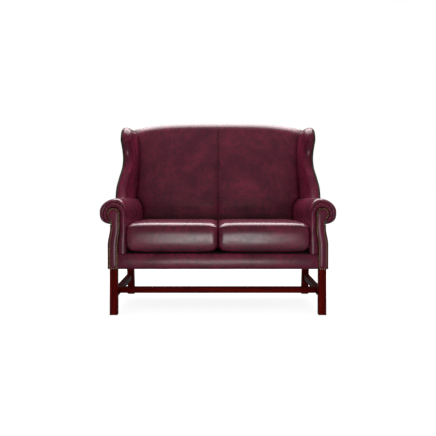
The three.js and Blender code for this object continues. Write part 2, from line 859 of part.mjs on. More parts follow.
// One padded panel of the inside back, from the seat up and over the top rail.
function insideBackHalf() {
  const padBottom = railTop + insideArmStart;
  const stations = [0, ...even(seamStartShare, 1, backPanelSteps)].map(
    (share) => clearance / 2 + (frameHalfSpan - legChamfer) * share,
  );
  return loftAlongX(stations, (x) => {
    const top = shoulderHeight(x);
    const rollZ = top - backRollRadius;
    const across = Math.min(1, x / wingInnerHalfSpan);
    const swell = backCrown * Math.sin(Math.PI * across) ** backSwellPower;
    const seam = backSeamDepth * Math.exp(-((x / backSeamSpread) ** 2));
    const front = even(padBottom, rollZ, backRiseSteps).map((z) => {
      const rise = (z - padBottom) / (rollZ - padBottom);
      const along = Math.min(1, rise * fullnessRunShare + fullnessStartShare);
      const fullness = Math.max(0, Math.sin(Math.PI * along)) ** backFullnessPower;
      return [backLineY(z) - backPadThickness - swell * fullness + seam * (1 - rise * rise), z];
    });
    const rearY = backLineY(rollZ) + legWidth + outsideBackThickness / 2;
    const frontY = front.at(-1)[0];
    const midY = (frontY + rearY) / 2;
    const halfY = (rearY - frontY) / 2;
    const roll = even(Math.PI, 0, backRollSteps)
      .slice(1)
      .map((a) => [midY + halfY * Math.cos(a), rollZ + backRollRadius * Math.sin(a)]);
    const underRoll = rollZ - clearance;
    return [
      ...front,
      ...roll,
      [rearY, underRoll],
      [backLineY(underRoll) - webbingDepth, underRoll],
      [backLineY(padBottom) - webbingDepth, padBottom],
    ];
  });
}

function insideBack() {
  return cut(insideBackHalf(), armBlock(leatherGap), wingBlock(leatherGap));
}

// A board across the back whose top edge can follow the arch.
function backBoard(x0, x1, bottomAt, topAt, thickness, steps = 1, offset = 0) {
  return loftAlongX(even(x0, x1, steps), (x) => {
    const [z0, z1] = [bottomAt(x), topAt(x)];
    return [
      [backLineY(z0) + offset, z0],
      [backLineY(z1) + offset, z1],
      [backLineY(z1) + offset + thickness, z1],
      [backLineY(z0) + offset + thickness, z0],
    ];
  });
}

function backTopRail() {
  const reach = rearPostInnerX - clearance;
  const bottom = (x) => topRailTop(x) - backRailHeight;
  return backBoard(-reach, reach, bottom, topRailTop, legWidth, crestSteps);
}

function backLowerRail() {
  const reach = rearPostInnerX - clearance;
  const bottom = railTop + pullThroughGap;
  return backBoard(-reach, reach, () => bottom, () => bottom + backRailHeight, backRailThickness);
}

function centreUpright() {
  const half = centreUprightWidth / 2;
  const bottom = () => railTop + pullThroughGap + backRailHeight + clearance;
  const top = () => topRailTop(half) - backRailHeight - clearance;
  return backBoard(-half, half, bottom, top, backRailThickness);
}

// Straps over the back frame: uprights against it, and cross straps in front, sewn where they cross.
function backWebbing() {
  const straps = [];
  const reach = rearPostInnerX + strapTackLength;
  const bottom = () => railTop + pullThroughGap;
  const half = strapWidth / 2;
  const layerGap = strapThickness + clearance;
  const field = (rearPostInnerX - centreUprightWidth / 2) * strapSpanShare;
  const uprightTop = () => topRailTop(reach) - clearance;
  for (const side of [-1, 1])
    for (let i = 0; i < strapColumns; i++) {
      const x = side * (centreUprightWidth / 2 + (field * (i + 0.5)) / strapColumns);
      straps.push(backBoard(x - half, x + half, bottom, uprightTop, strapThickness, 1, -layerGap));
    }
  const low = armRailTop;
  const high = topRailTop(reach) - backRailHeight;
  for (let i = 0; i < strapRows; i++) {
    const z = mix(low, high, (i + 0.5) / strapRows);
    const [under, over] = [() => z - half, () => z + half];
    const offset = -layerGap - strapThickness / 2;
    straps.push(backBoard(-reach, reach, under, over, strapThickness, 1, offset));
  }
  return join(...straps);
}

// The outside back: kinked at the seat frame, arched along its top.
function outsideBack() {
  const reach = wingHalfSpan;
  const offset = legWidth + clearance;
  return loftAlongX(even(-reach, reach, crestSteps), (x) => {
    const top = shoulderHeight(x) - backRollRadius - outsideBackTuck;
    const heights = [legHeight, railTop, top];
    const front = heights.map((z) => [backLineY(z) + offset, z]);
    const rear = heights.map((z) => [backLineY(z) + offset + outsideBackThickness, z]).reverse();
    return [...front, ...rear];
  });
}

// Wings

const wingSpline = new THREE.SplineCurve(
  wingFrontShares.map(
    ([up, back]) => new THREE.Vector2(armTop + up * wingRise, back * seatFrameDepth),
  ),
);

// Places up the front edge of the wing: height, depth of the edge, and how full the wing is there.
function wingStations(steps) {
  const rising = wingSpline.getPoints(steps).map((p) => ({ z: p.x, y: p.y, fullness: 1 }));
  const last = rising.at(-1);
  const round = even(0, Math.PI / 2, earSteps)
    .slice(1)
    .map((a) => ({
      z: last.z + (wingTop - last.z) * Math.sin(a),
      y: last.y + earRoundness * (1 - Math.cos(a)),
      fullness: Math.max(earEndShare, Math.cos(a)),
    }));
  return [...rising, ...round];
}

function wingOuterX(y) {
  const start = wingFlareStartShare * seatFrameDepth;
  const share = Math.max(0, (start - y) / (wingFlareLengthShare * seatFrameDepth));
  return wingHalfSpan + wingFlare * share ** wingFlarePower;
}

// Half the distance between the wings where they meet the inside back.
function wingJunctionX(z) {
  const waist = armTop + junctionWaistShare * wingRise;
  const up = (z - waist) / (wingTop - waist);
  if (up > 0) return wingInnerHalfSpan * (1 + junctionTopShare * Math.min(1, up) ** junctionPower);
  return wingInnerHalfSpan * (1 + junctionLowShare * up * up);
}

// The wing cut level at a station, as [x, y].
function wingSection({ z, y, fullness }, grow) {
  const rearY = backLineY(z) + legWidth;
  const junctionY = backLineY(z) - webbingDepth + grow;
  const nose = y - grow;
  const outerRear = wingOuterX(rearY) + grow;
  const innerRear = wingJunctionX(z) - grow;
  const noseOuter = wingOuterX(y) + grow;
  const noseInner = noseOuter - wingNoseWidth - 2 * grow;
  const noseMid = (noseOuter + noseInner) / 2;
  const noseHalf = (noseOuter - noseInner) / 2;
  const tip = even(0, Math.PI, noseSteps).map((a) => [
    noseMid + noseHalf * Math.cos(a),
    nose + wingNoseLength * (1 - Math.sin(a)),
  ]);
  const outer = even(0, 1, wingSideSteps)
    .slice(1, -1)
    .map((share) => {
      const at = mix(rearY, nose + wingNoseLength, share);
      return [wingOuterX(at) + grow, at];
    });
  const inner = even(0, 1, wingSideSteps)
    .slice(1)
    .map((share) => {
      const at = mix(nose + wingNoseLength, junctionY, share);
      const line = mix(noseInner, innerRear, share);
      return [line - wingInnerSwell * Math.sin(Math.PI * share), at];
    });
  const outline = [
    [frameHalfSpan + clearance, rearY],
    [outerRear, rearY],
    ...outer,
    ...tip,
    ...inner,
    [frameHalfSpan + clearance, junctionY],
  ];
  const boardX = wingBoardOutside - wingBoardThickness / 2;
  return outline.map(([x, at]) => {
    const core = x > frameHalfSpan ? frameHalfSpan + clearance : boardX;
    return [mix(core, x, fullness), at];
  });
}

// The whole wing as one block, which is also cut out of the inside back.
function wingBlock(grow) {
  const stations = wingStations(wingSteps);
  return skin(
    stations.map((station) =>
      wingSection(station, grow).map(([x, y]) => new THREE.Vector3(x, y, station.z)),
    ),
  );
}

// The side outline of a layer inside the wing, as [y, z], drawn in from the padded edge.
function wingSideOutline(inset, rearAt, mostRearZ) {
  const stations = wingStations(wingSteps).filter(({ z }) => z < wingTop - inset);
  const front = stations.map(({ z, y }) => [y + inset, z]);
  const topZ = wingTop - inset - wingTopSlope;
  const kept = front.filter(([, z]) => z < topZ);
  const foot = kept[0][1];
  const rearZ = Math.min(topZ, mostRearZ);
  return [...kept, [kept.at(-1)[0] + inset, topZ], [rearAt(rearZ), rearZ], [rearAt(foot), foot]];
}

function wingBoard(grow) {
  const rearAt = (z) => backLineY(z) - clearance + grow;
  const outline = wingSideOutline(wingBoardEdgeInset - grow, rearAt, topRailTop(frameHalfSpan) + grow);
  const x1 = wingBoardOutside + grow;
  return barAlongX(outline, x1 - wingBoardThickness - 2 * grow, x1);
}

// Everything outside the wing board and behind the line of nails.
function outsideWingZone(grow) {
  const rearAt = (z) => backLineY(z) + legWidth + cutOverrun;
  const outline = wingSideOutline(wingNailInset - grow, rearAt, wingTop);
  const outside = wingHalfSpan + 2 * wingFlare + cutOverrun;
  return barAlongX(outline, wingBoardOutside + clearance - grow, outside);
}

const wingRest = () => armBlock(leatherGap);

function insideWing() {
  return cut(wingBlock(0), outsideWingZone(leatherGap), wingBoard(clearance), wingRest());
}

function outsideWing() {
  return cut(common(wingBlock(0), outsideWingZone(0)), wingRest());
}

const wingBoardPiece = () => cut(wingBoard(0), wingRest());

// Seat platform and cushions

// The inner side of the arm at seat height, from the middle of the settee.
function armInnerXAt(y) {
  const share = Math.max(0, (y - scrollFrontSetback) / (seatFrameDepth - scrollFrontSetback));
  return mix(armFrontX, innerSideX - armInnerDrift, share);
}

// Front face of the inside back at a height, at its fullest.
const backFaceY = (z) => backLineY(z) - backPadThickness - backCrown;

// A level outline that narrows towards the back like the space between the arms, as [x, y].
function seatOutline(x0, sideGap, y0, y1, radius, drawIn, widen) {
  const corners = [
    [x0, y0],
    [armInnerXAt(y0) - sideGap, y0],
    [armInnerXAt(y1) - sideGap, y1],
    [x0, y1],
  ];
  const points = [];
  corners.forEach((corner, i) => {
    const before = corners[(i + 3) % 4];
    const after = corners[(i + 1) % 4];
    const here = new THREE.Vector2(...corner);
    const from = new THREE.Vector2(...before).sub(here).setLength(radius).add(here);
    const to = new THREE.Vector2(...after).sub(here).setLength(radius).add(here);
    const round = new THREE.QuadraticBezierCurve(from, here, to).getPoints(cornerSteps);
    points.push(...round);
    const next = new THREE.Vector2(...after);
    const nextFrom = here.clone().sub(next).setLength(radius).add(next);
    for (const share of wallSideShares) points.push(to.clone().lerp(nextFrom, share));
  });
  const middle = new THREE.Vector2((x0 + corners[1][0]) / 2, (y0 + y1) / 2);
  const half = new THREE.Vector2(corners[1][0] - middle.x, y1 - middle.y);
  return points.map((p) => {
    const off = p.clone().sub(middle);
    const cornerness = Math.min(1, Math.abs((off.x * off.y) / (half.x * half.y)));
    const inward = drawIn * (1 - cornerness) - widen;
    const pull = Math.max(0, 1 - inward / Math.min(half.x, half.y));
    return off.multiplyScalar(pull).add(middle);
  });
}

function seatDeck() {
  const reach = (y) => armInnerXAt(y) - 2 * clearance;
  const y0 = deckSetback;
  const y1 = backLineY(deckBottom) - backPadThickness - backCrown - leatherGap;
  return loftAlongZ([deckBottom, deckTop], () => [
    [-reach(y0), y0],
    [reach(y0), y0],
    [reach(y1), y1],
    [-reach(y1), y1],
  ]);
}

// One box cushion: stitched edges drawn in between the corners, soft walls and a crowned top.
function seatCushion() {
  const y0 = -cushionFrontOverhang + cushionWallBulge;
  const lowSeam = deckTop + clearance + cushionBellyDrop;
  const highSeam = lowSeam + cushionHeight;
  const y1 = backFaceY(lowSeam) - cushionSideGap - cushionWallBulge;
  const x0 = cushionGap / 2 + cushionWallBulge;
  const outline = (widen, drawIn) =>
    seatOutline(
      x0,
      cushionSideGap + cushionWallBulge,
      y0,
      y1,
      cushionCornerRadius,
      drawIn,
      widen,
    );
  const edge = outline(0, cushionWallDrawIn);
  const middle = edge.reduce((sum, p) => sum.add(p), new THREE.Vector2()).divideScalar(edge.length);
  const reach = new THREE.Vector2(Math.max(...edge.map((p) => p.x)) - middle.x, y1 - middle.y);
  const face = (z, rise, power) =>
    crownRingShares.map((share) =>
      edge.map((p) => {
        const off = p.clone().sub(middle).multiplyScalar(share);
        const fullX = 1 - Math.min(1, Math.abs(off.x / reach.x)) ** power;
        const fullY = 1 - Math.min(1, Math.abs(off.y / reach.y)) ** power;
        return new THREE.Vector3(middle.x + off.x, middle.y + off.y, z + rise * fullX * fullY);
      }),
    );
  const wall = wallRingShares.map((share) => {
    const bulge = cushionWallBulge * Math.sin(Math.PI * share) ** wallPower;
    const ring = outline(bulge, cushionWallDrawIn * (1 - Math.sin(Math.PI * share)));
    return ring.map((p) => new THREE.Vector3(p.x, p.y, mix(lowSeam, highSeam, share)));
  });
  const under = face(lowSeam, -cushionBellyDrop, bellyPower).reverse();
  return skin([...under, ...wall, ...face(highSeam, cushionCrown, crownPower)]);
}

// Assembly

for (const [side, sign] of [
  ["left", -1],
  ["right", 1],
]) {
  const half = new THREE.Group();
  half.scale.x = sign;
  settee.add(half);
  add(`front_leg_${side}`, frontLeg(), woodFinish, half);
  add(`rear_leg_${side}`, rearLeg(), woodFinish, half);
  add(`side_stretcher_${side}`, sideStretcher(), woodFinish, half);
  add(`side_seat_rail_${side}`, sideRail(), frameFinish, half);
  add(`front_corner_block_${side}`, frontCornerBlock(), frameFinish, half);
  add(`rear_corner_block_${side}`, rearCornerBlock(), frameFinish, half);
  add(`arm_stump_${side}`, armStump(), frameFinish, half);
  add(`arm_top_rail_${side}`, armRail(), frameFinish, half);
  add(`arm_board_${side}`, armBoard(), frameFinish, half);
  add(`wing_board_${side}`, wingBoardPiece(), frameFinish, half);
  add(`inside_arm_${side}`, insideArm(), leatherFinish, half);
  add(`outside_arm_${side}`, outsideArm(), leatherFinish, half);
  add(`arm_facing_${side}`, armFacing(), leatherFinish, half);
  add(`arm_gathered_border_${side}`, armBorder(), leatherFinish, half);
  add(`inside_wing_${side}`, insideWing(), leatherFinish, half);
  add(`outside_wing_${side}`, outsideWing(), leatherFinish, half);
  add(`inside_back_${side}`, insideBack(), leatherFinish, half);
  add(`seat_cushion_${side}`, seatCushion(), leatherFinish, half);
}
add("cross_stretcher", crossStretcher(), woodFinish);
add("front_seat_rail", frontRail(), frameFinish);
add("rear_seat_rail", rearRail(), frameFinish);
add("seat_brace", seatBrace(), frameFinish);
add("back_top_rail", backTopRail(), frameFinish);
add("back_lower_rail", backLowerRail(), frameFinish);
add("back_centre_upright", centreUpright(), frameFinish);
add("back_webbing", backWebbing(), webbingFinish);
springPlaces().forEach((x, i) => add(`seat_spring_${i + 1}`, springAt(x), steelFinish));
add("seat_deck", seatDeck(), clothFinish);
add("dust_cover", dustCover(), clothFinish);
add("front_rail_cover", frontRailCover(), leatherFinish);
add("outside_back", outsideBack(), leatherFinish);

// The origin is on the floor, under the middle of the settee's own length and depth.
const extent = new THREE.Box3().setFromObject(settee, true);
settee.position.y = -(extent.min.y + extent.max.y) / 2;
settee.updateMatrixWorld(true);

export default settee;
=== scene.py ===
# %% [markdown]
# # A high back settee in antique leather
# The real object is a two-seat settee with wings, scroll arms and loose seat cushions, covered in
# burgundy leather and standing on mahogany legs. The timber, the springs and every joint come from
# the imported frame. This lesson builds the leather work, the nails and all the finishes round it.

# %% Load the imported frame
import math

import bmesh
import bpy
from mathutils import Matrix, Vector, noise


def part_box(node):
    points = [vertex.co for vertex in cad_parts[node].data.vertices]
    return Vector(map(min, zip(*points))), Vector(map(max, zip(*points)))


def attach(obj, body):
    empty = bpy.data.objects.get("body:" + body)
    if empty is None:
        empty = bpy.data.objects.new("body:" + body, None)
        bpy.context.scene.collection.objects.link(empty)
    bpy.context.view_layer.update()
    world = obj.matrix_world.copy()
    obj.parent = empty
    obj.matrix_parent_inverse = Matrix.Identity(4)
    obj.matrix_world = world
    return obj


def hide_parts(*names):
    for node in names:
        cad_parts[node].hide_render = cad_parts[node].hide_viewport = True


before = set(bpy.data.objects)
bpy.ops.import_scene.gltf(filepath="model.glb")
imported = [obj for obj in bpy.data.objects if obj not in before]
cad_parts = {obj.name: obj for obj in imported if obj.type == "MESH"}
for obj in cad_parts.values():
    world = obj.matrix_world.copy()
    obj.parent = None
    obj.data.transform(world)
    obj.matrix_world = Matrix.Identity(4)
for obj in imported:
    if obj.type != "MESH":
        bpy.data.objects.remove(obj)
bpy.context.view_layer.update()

# %% [markdown]
# ## The drawing and the frame
# The shapes are drawn in millimetres, with Y counted from the front of the arms, because that is
# how an upholsterer measures. One function turns such a point into the frame's metres. The front
# of the arms is read from the frame, so the leather always lands on the timber.

# %% From the drawing to the frame
MM = 0.001
front_of_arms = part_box("arm_facing_right")[0][1]


def at(x, y, z):
    return Vector((x * MM, front_of_arms + y * MM, z * MM))


def mix(a, b, share):
    return a + (b - a) * share


def softstep(share):
    t = min(1.0, max(0.0, share))
    return t * t * (3 - 2 * t)


def even(a, b, steps):
    return [mix(a, b, i / steps) for i in range(steps + 1)]


print("front of the arms at", round(front_of_arms, 4), "m")

# %% [markdown]
# ## One way to make a stuffed shape
# Stretched leather has a smooth skin whose section changes slowly along the piece. Such a skin
# could be sculpted, but a drawn section keeps it exact: one ring is drawn and extruded again and
# again, and each new ring moves to its own section. The ends are filled and the faces turned out.

# %% Loft
WELD = 0.02  # points nearer than this become one
SLIVER = 0.01  # edges shorter than this are dissolved


def loft(rings, bm=None):
    """Draws the first ring and extrudes it through all the others, then fills both ends."""
    bm = bm or bmesh.new()
    ring = [bm.verts.new(at(*point)) for point in rings[0]]
    for points in rings[1:]:
        pairs = zip(ring, ring[1:] + ring[:1])
        edges = [bm.edges.get(pair) or bm.edges.new(pair) for pair in pairs]
        made = bmesh.ops.extrude_edge_only(bm, edges=edges)["geom"]
        fresh = {item for item in made if isinstance(item, bmesh.types.BMVert)}
        ring = [
            next(e.other_vert(v) for e in v.link_edges if e.other_vert(v) in fresh) for v in ring
        ]
        for vert, point in zip(ring, points):
            vert.co = at(*point)
    bmesh.ops.remove_doubles(bm, verts=bm.verts, dist=WELD * MM)
    bmesh.ops.dissolve_degenerate(bm, dist=SLIVER * MM, edges=bm.edges)
    bmesh.ops.holes_fill(bm, edges=[e for e in bm.edges if e.is_boundary], sides=0)
    bmesh.ops.recalc_face_normals(bm, faces=bm.faces)
    return bm


# %% Unevenness and glaze
def uneven(bm, height, spacing, seed):
    """Stuffing is packed by hand, so the skin rises and falls a little over its whole surface."""
    bm.normal_update()
    shift = Vector((seed, 0.0, 0.0))
    for vert in bm.verts:
        rise = noise.noise(vert.co / (spacing * MM) + shift)
        vert.co += vert.normal * (rise * height * MM)


def gather_glaze_and_painted_shade(bm, amount):
    """Writes how dark each point is, from 0 to 1, by a rule given in drawing mm:
    dark glaze in the seams, painted shade in crevices and round the nails.
    """
    layer = bm.verts.layers.float.new("glaze_and_painted_shade")
    for vert in bm.verts:
        x, y, z = vert.co.x / MM, (vert.co.y - front_of_arms) / MM, vert.co.z / MM
        vert[layer] = min(1.0, max(0.0, amount(x, y, z)))


# %% Finish a piece
def finish(bm, name, material, body="settee", stands_for=(), sharp=32):
    """Turns the mesh into a piece; sharp is the angle in degrees from which an edge stays hard."""
    mesh = bpy.data.meshes.new(name)
    bmesh.ops.recalc_face_normals(bm, faces=bm.faces)
    bm.to_mesh(mesh)
    bm.free()
    mesh.shade_smooth()
    mesh.set_sharp_from_angle(angle=math.radians(sharp))
    piece = bpy.data.objects.new(name, mesh)
    bpy.context.scene.collection.objects.link(piece)
    mesh.materials.append(material)
    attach(piece, body)
    if stands_for:
        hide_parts(*stands_for)
    print(name, len(mesh.polygons), "faces")
    return piece


# %% Left and right
SIDES = (("left", -1), ("right", 1))


def mirrored(bm, sign):
    """Everything beside the middle is drawn on the right, and turned over for the left."""
    if sign < 0:
        bmesh.ops.scale(bm, vec=(-1, 1, 1), verts=bm.verts)
        bmesh.ops.recalc_face_normals(bm, faces=bm.faces)
    return bm


# %% [markdown]
# ## Colours and nodes
# Colours are written as the hex values that a photograph shows, and one function turns them into
# the linear values that Blender mixes. Another adds a node. What is given for an input is linked
# if it is a node or one of its outputs, and set if it is a value.

# %% Colour and node helpers
def linear(hex_colour):
    parts = [int(hex_colour[i : i + 2], 16) / 255 for i in (1, 3, 5)]
    values = [p / 12.92 if p <= 0.04045 else ((p + 0.055) / 1.055) ** 2.4 for p in parts]
    return (*values, 1.0)


def set_inputs(tree, node, inputs):
    """A node stands for its own first output."""
    for name, value in inputs.items():
        if isinstance(value, bpy.types.Node):
            value = value.outputs[0]
        if isinstance(value, bpy.types.NodeSocket):
            tree.links.new(value, node.inputs[name])
        else:
            node.inputs[name].default_value = value


def add_node(tree, kind, inputs=None, **settings):
    node = tree.nodes.new("ShaderNode" + kind)
    for name, value in settings.items():
        setattr(node, name, value)
    set_inputs(tree, node, inputs or {})
    return node


def set_stops(ramp, stops):
    """Gives a colour ramp its stops, each a place from 0 to 1 and a hex colour."""
    elements = ramp.color_ramp.elements
    while len(elements) < len(stops):
        elements.new(0.5)
    for element, (place, colour) in zip(elements, stops):
        element.position = place
        element.color = linear(colour)
    return ramp


# %% A new material
# The mix node has several sockets of each name, so its colour ones are known by their places
COLOUR_A, COLOUR_B, MIXED = 6, 7, 2


def new_material(name):
    """The material, its nodes, its shader, and the place on the piece that patterns follow."""
    material = bpy.data.materials.new(name)
    material.use_nodes = True
    tree = material.node_tree
    tree.nodes.clear()
    shader = add_node(tree, "BsdfPrincipled")
    add_node(tree, "OutputMaterial", {"Surface": shader})
    return material, tree, shader, add_node(tree, "TexCoord").outputs["Object"]


def per_metre(millimetres):
    """The texture scale at which a pattern repeats about once in so many millimetres."""
    return 1 / (millimetres * MM)


# %% [markdown]
# ## Antique leather
# Antique upholstery leather is cowhide dyed red, stained with a dark plum glaze, rubbed by hand
# while wet and sealed with a satin lacquer. The eye sees slow dark clouds where the glaze stayed,
# a web of thin crimson marks where it was rubbed off the fibres, a fine pebble grain, and a soft
# shine. A picture of leather would show its own seams and light, so the clouds, the web and the
# grain are noises instead. In the seams the glaze was never rubbed away, so they stay nearly
# black, and the nailed edge of each outside wing is dark too. The same darkening also paints
# shade: down behind the cushions, beside the wings, round the facing nails and a little over the
# whole back. A piece says where, in an attribute of its mesh.

# %% Sizes of the leather's patterns
CLOUD_MM = 110
BLOTCH_MM = 21
WARP_MM = 52
WARP_PULL = 1.3
# The real web and grain are a third of this or less. They are drawn as coarse as they need to be
# to show at this picture size.
WEB_MM = 22
GRAIN_MM = 4.0
CREASE_MM = 9


# %% The leather
def antique_leather(name, roughness, gloss):
    material, tree, shader, place = new_material(name)
    warp = add_node(tree, "TexNoise", {"Vector": place, "Scale": per_metre(WARP_MM), "Detail": 2.0})
    pull = add_node(tree, "VectorMath", {0: warp.outputs["Color"], 3: WARP_MM * MM * WARP_PULL},
                    operation="SCALE")
    bent = add_node(tree, "VectorMath", {0: place, 1: pull}, operation="ADD")
    clouds = add_node(tree, "TexNoise", {"Vector": place, "Scale": per_metre(CLOUD_MM),
                                         "Detail": 3.0, "Roughness": 0.55})
    dyed = set_stops(add_node(tree, "ValToRGB", {"Fac": clouds}),
                     [(0.32, "#471023"), (0.5, "#521328"), (0.68, "#5e162d")])
    blotches = add_node(tree, "TexNoise", {"Vector": bent, "Scale": per_metre(BLOTCH_MM),
                                           "Detail": 3.0, "Roughness": 0.6})
    blotch_share = add_node(tree, "MapRange", {"Value": blotches, "From Min": 0.42,
                                               "From Max": 0.66, "To Max": 0.56})
    glazed = add_node(tree, "Mix", {0: blotch_share, COLOUR_A: dyed, COLOUR_B: linear("#2b0b17")},
                      data_type="RGBA")
    web = add_node(tree, "TexNoise", {"Vector": bent, "Scale": per_metre(WEB_MM), "Detail": 2.0,
                                      "Roughness": 0.5, "Lacunarity": 2.2},
                   noise_type="RIDGED_MULTIFRACTAL", normalize=False)
    web_share = add_node(tree, "MapRange", {"Value": web, "From Min": 0.9, "From Max": 1.5,
                                            "To Max": 0.85})
    rubbed = add_node(tree, "Mix", {0: web_share, COLOUR_A: glazed.outputs[MIXED],
                                    COLOUR_B: linear("#8a1636")}, data_type="RGBA")
    # Near black where the attribute says: glaze in the seams, painted shade in crevices and round
    # nails
    glaze_and_painted_shade = add_node(tree, "Attribute", attribute_name="glaze_and_painted_shade")
    darkened = add_node(tree, "Mix", {0: glaze_and_painted_shade.outputs["Fac"], COLOUR_A: rubbed.outputs[MIXED],
                                      COLOUR_B: linear("#12060a")}, data_type="RGBA")
    shine = add_node(tree, "MapRange", {"Value": blotches, "From Min": 0.3, "From Max": 0.7,
                                        "To Min": roughness - 0.02, "To Max": roughness + 0.03})
    pebbles = add_node(tree, "TexVoronoi", {"Vector": place, "Scale": per_metre(GRAIN_MM),
                                            "Randomness": 0.9}, feature="SMOOTH_F1")
    creases = add_node(tree, "TexNoise", {"Vector": bent, "Scale": per_metre(CREASE_MM),
                                          "Detail": 3.0})
    grain = add_node(tree, "Bump", {"Height": pebbles, "Strength": 0.08, "Distance": 0.3 * MM})
    skin = add_node(tree, "Bump", {"Height": creases, "Strength": 0.12, "Distance": 0.5 * MM,
                                   "Normal": grain})
    set_inputs(tree, shader, {"Base Color": darkened.outputs[MIXED], "Roughness": shine,
                              "IOR": 1.48, "Specular IOR Level": gloss, "Normal": skin})
    return material


# Leather pulled over a board is stretched thin, and its lacquer is duller
padded_leather = antique_leather("antique_leather_padded", 0.28, 0.48)
panel_leather = antique_leather("antique_leather_stretched", 0.27, 0.26)

# %% [markdown]
# ## Mahogany
# The legs and stretchers are mahogany, planed, stained dark red and polished with shellac that has
# gone dull, so hardly any mirror is left. The grain is long, straight streaks with short dark
# pores along them. A noise gives both, when it is stretched along the timber only, so the same
# recipe is made once for each direction.

# %% The show wood
STREAK_MM = 9
PORE_MM = 1.6
GRAIN_STRETCH = 0.045


def stained_mahogany(name, along):
    """along is the axis of the timber, 0 for X, 1 for Y and 2 for Z."""
    material, tree, shader, place = new_material(name)
    stretch = [1.0, 1.0, 1.0]
    stretch[along] = GRAIN_STRETCH
    grain_place = add_node(tree, "Mapping", {"Vector": place, "Scale": stretch})
    streaks = add_node(tree, "TexNoise", {"Vector": grain_place, "Scale": per_metre(STREAK_MM),
                                          "Detail": 5.0, "Roughness": 0.6, "Distortion": 0.4})
    stained = set_stops(add_node(tree, "ValToRGB", {"Fac": streaks}),
                        [(0.28, "#260303"), (0.48, "#3f0605"), (0.66, "#520a06"),
                         (0.8, "#611008")])
    pores = add_node(tree, "TexNoise", {"Vector": grain_place, "Scale": per_metre(PORE_MM),
                                        "Detail": 2.0})
    pore_share = add_node(tree, "MapRange", {"Value": pores, "From Min": 0.56, "From Max": 0.7,
                                             "To Max": 0.6})
    grained = add_node(tree, "Mix", {0: pore_share, COLOUR_A: stained,
                                     COLOUR_B: linear("#140303")}, data_type="RGBA")
    bump = add_node(tree, "Bump", {"Height": pores, "Strength": 0.2, "Distance": 0.15 * MM})
    set_inputs(tree, shader, {"Base Color": grained.outputs[MIXED], "Roughness": 0.38,
                              "Specular IOR Level": 0.008, "Normal": bump})
    return material


mahogany = {
    axis: stained_mahogany(f"mahogany_stained_along_{axis}", i) for i, axis in enumerate("xyz")
}
print("mahogany along", *mahogany)

# %% [markdown]
# ## Frame timber and steel
# The hidden frame is planed beech, left bare, with short flecks in its grain. The springs are
# black-drawn steel wire, a metal that is grey and fairly dull with a trace of scale.

# %% Bare beech
FLECK_MM = 5


def planed_beech():
    material, tree, shader, place = new_material("beech_planed")
    grain_place = add_node(tree, "Mapping", {"Vector": place, "Scale": (0.06, 0.4, 1.0)})
    flecks = add_node(tree, "TexNoise", {"Vector": grain_place, "Scale": per_metre(FLECK_MM),
                                         "Detail": 4.0})
    colour = set_stops(add_node(tree, "ValToRGB", {"Fac": flecks}),
                       [(0.3, "#a8805a"), (0.5, "#c39a6c"), (0.72, "#d0ab7e")])
    set_inputs(tree, shader, {"Base Color": colour, "Roughness": 0.72})
    return material


# %% Drawn steel wire
SCALE_MM = 6


def drawn_steel():
    material, tree, shader, place = new_material("steel_wire_drawn")
    scale = add_node(tree, "TexNoise", {"Vector": place, "Scale": per_metre(SCALE_MM)})
    colour = set_stops(add_node(tree, "ValToRGB", {"Fac": scale}),
                       [(0.35, "#5e5f61"), (0.7, "#8b8c8e")])
    set_inputs(tree, shader, {"Base Color": colour, "Metallic": 1.0, "Roughness": 0.42})
    return material


# %% [markdown]
# ## Antique brass
# The nails are brass that was browned in a bath and then wiped on its high places, so each head
# has a bright top and a dark rim. A noise can't know where a head is high, so the nail's mesh
# says it, in an attribute called worn.

# %% Antique brass
BROWNING_MM = 7


def antique_brass():
    material, tree, shader, place = new_material("brass_antique")
    browning = add_node(tree, "TexNoise", {"Vector": place, "Scale": per_metre(BROWNING_MM),
                                           "Detail": 3.0})
    bright = set_stops(add_node(tree, "ValToRGB", {"Fac": browning}),
                       [(0.35, "#b39c60"), (0.55, "#dcc688"), (0.75, "#f0dca4")])
    worn = add_node(tree, "Attribute", attribute_name="worn")
    wiped = add_node(tree, "Mix", {0: worn.outputs["Fac"], COLOUR_A: linear("#2a1e0c"),
                                   COLOUR_B: bright}, data_type="RGBA")
    dulling = add_node(tree, "MapRange", {"Value": browning, "To Min": 0.42, "To Max": 0.26})
    set_inputs(tree, shader, {"Base Color": wiped.outputs[MIXED], "Metallic": 1.0,
                              "Roughness": dulling})
    return material


# %% [markdown]
# ## Woven cloths
# The seat platform and the cloth under the frame are black cotton, and the back is strung with
# jute webbing. Both are plain weaves: two sets of threads that cross, which two wave patterns
# multiplied give at the size of the threads.

# %% Woven cloths
WAVE_BANDS = 20 / math.tau  # the wave node draws this many bands in one unit


def plain_weave(name, thread_mm, directions, dark, light):
    material, tree, shader, place = new_material(name)
    scale = per_metre(thread_mm) / WAVE_BANDS
    warp, weft = (
        add_node(tree, "TexWave", {"Vector": place, "Scale": scale, "Distortion": 0.6,
                                   "Detail": 1.0}, bands_direction=direction).outputs["Fac"]
        for direction in directions
    )
    threads = add_node(tree, "Math", {0: warp, 1: weft}, operation="MULTIPLY")
    colour = set_stops(add_node(tree, "ValToRGB", {"Fac": threads}), [(0.05, dark), (0.6, light)])
    bump = add_node(tree, "Bump", {"Height": threads, "Strength": 0.5,
                                   "Distance": thread_mm * MM * 0.48})
    set_inputs(tree, shader, {"Base Color": colour, "Roughness": 0.92,
                              "Specular IOR Level": 0.15, "Normal": bump})
    return material


beech = planed_beech()
steel = drawn_steel()
brass = antique_brass()
black_cloth = plain_weave("cotton_black_woven", 0.5655, "XY", "#040404", "#0e0d0e")
jute = plain_weave("jute_webbing", 1.2566, "XZ", "#6b5232", "#b39263")

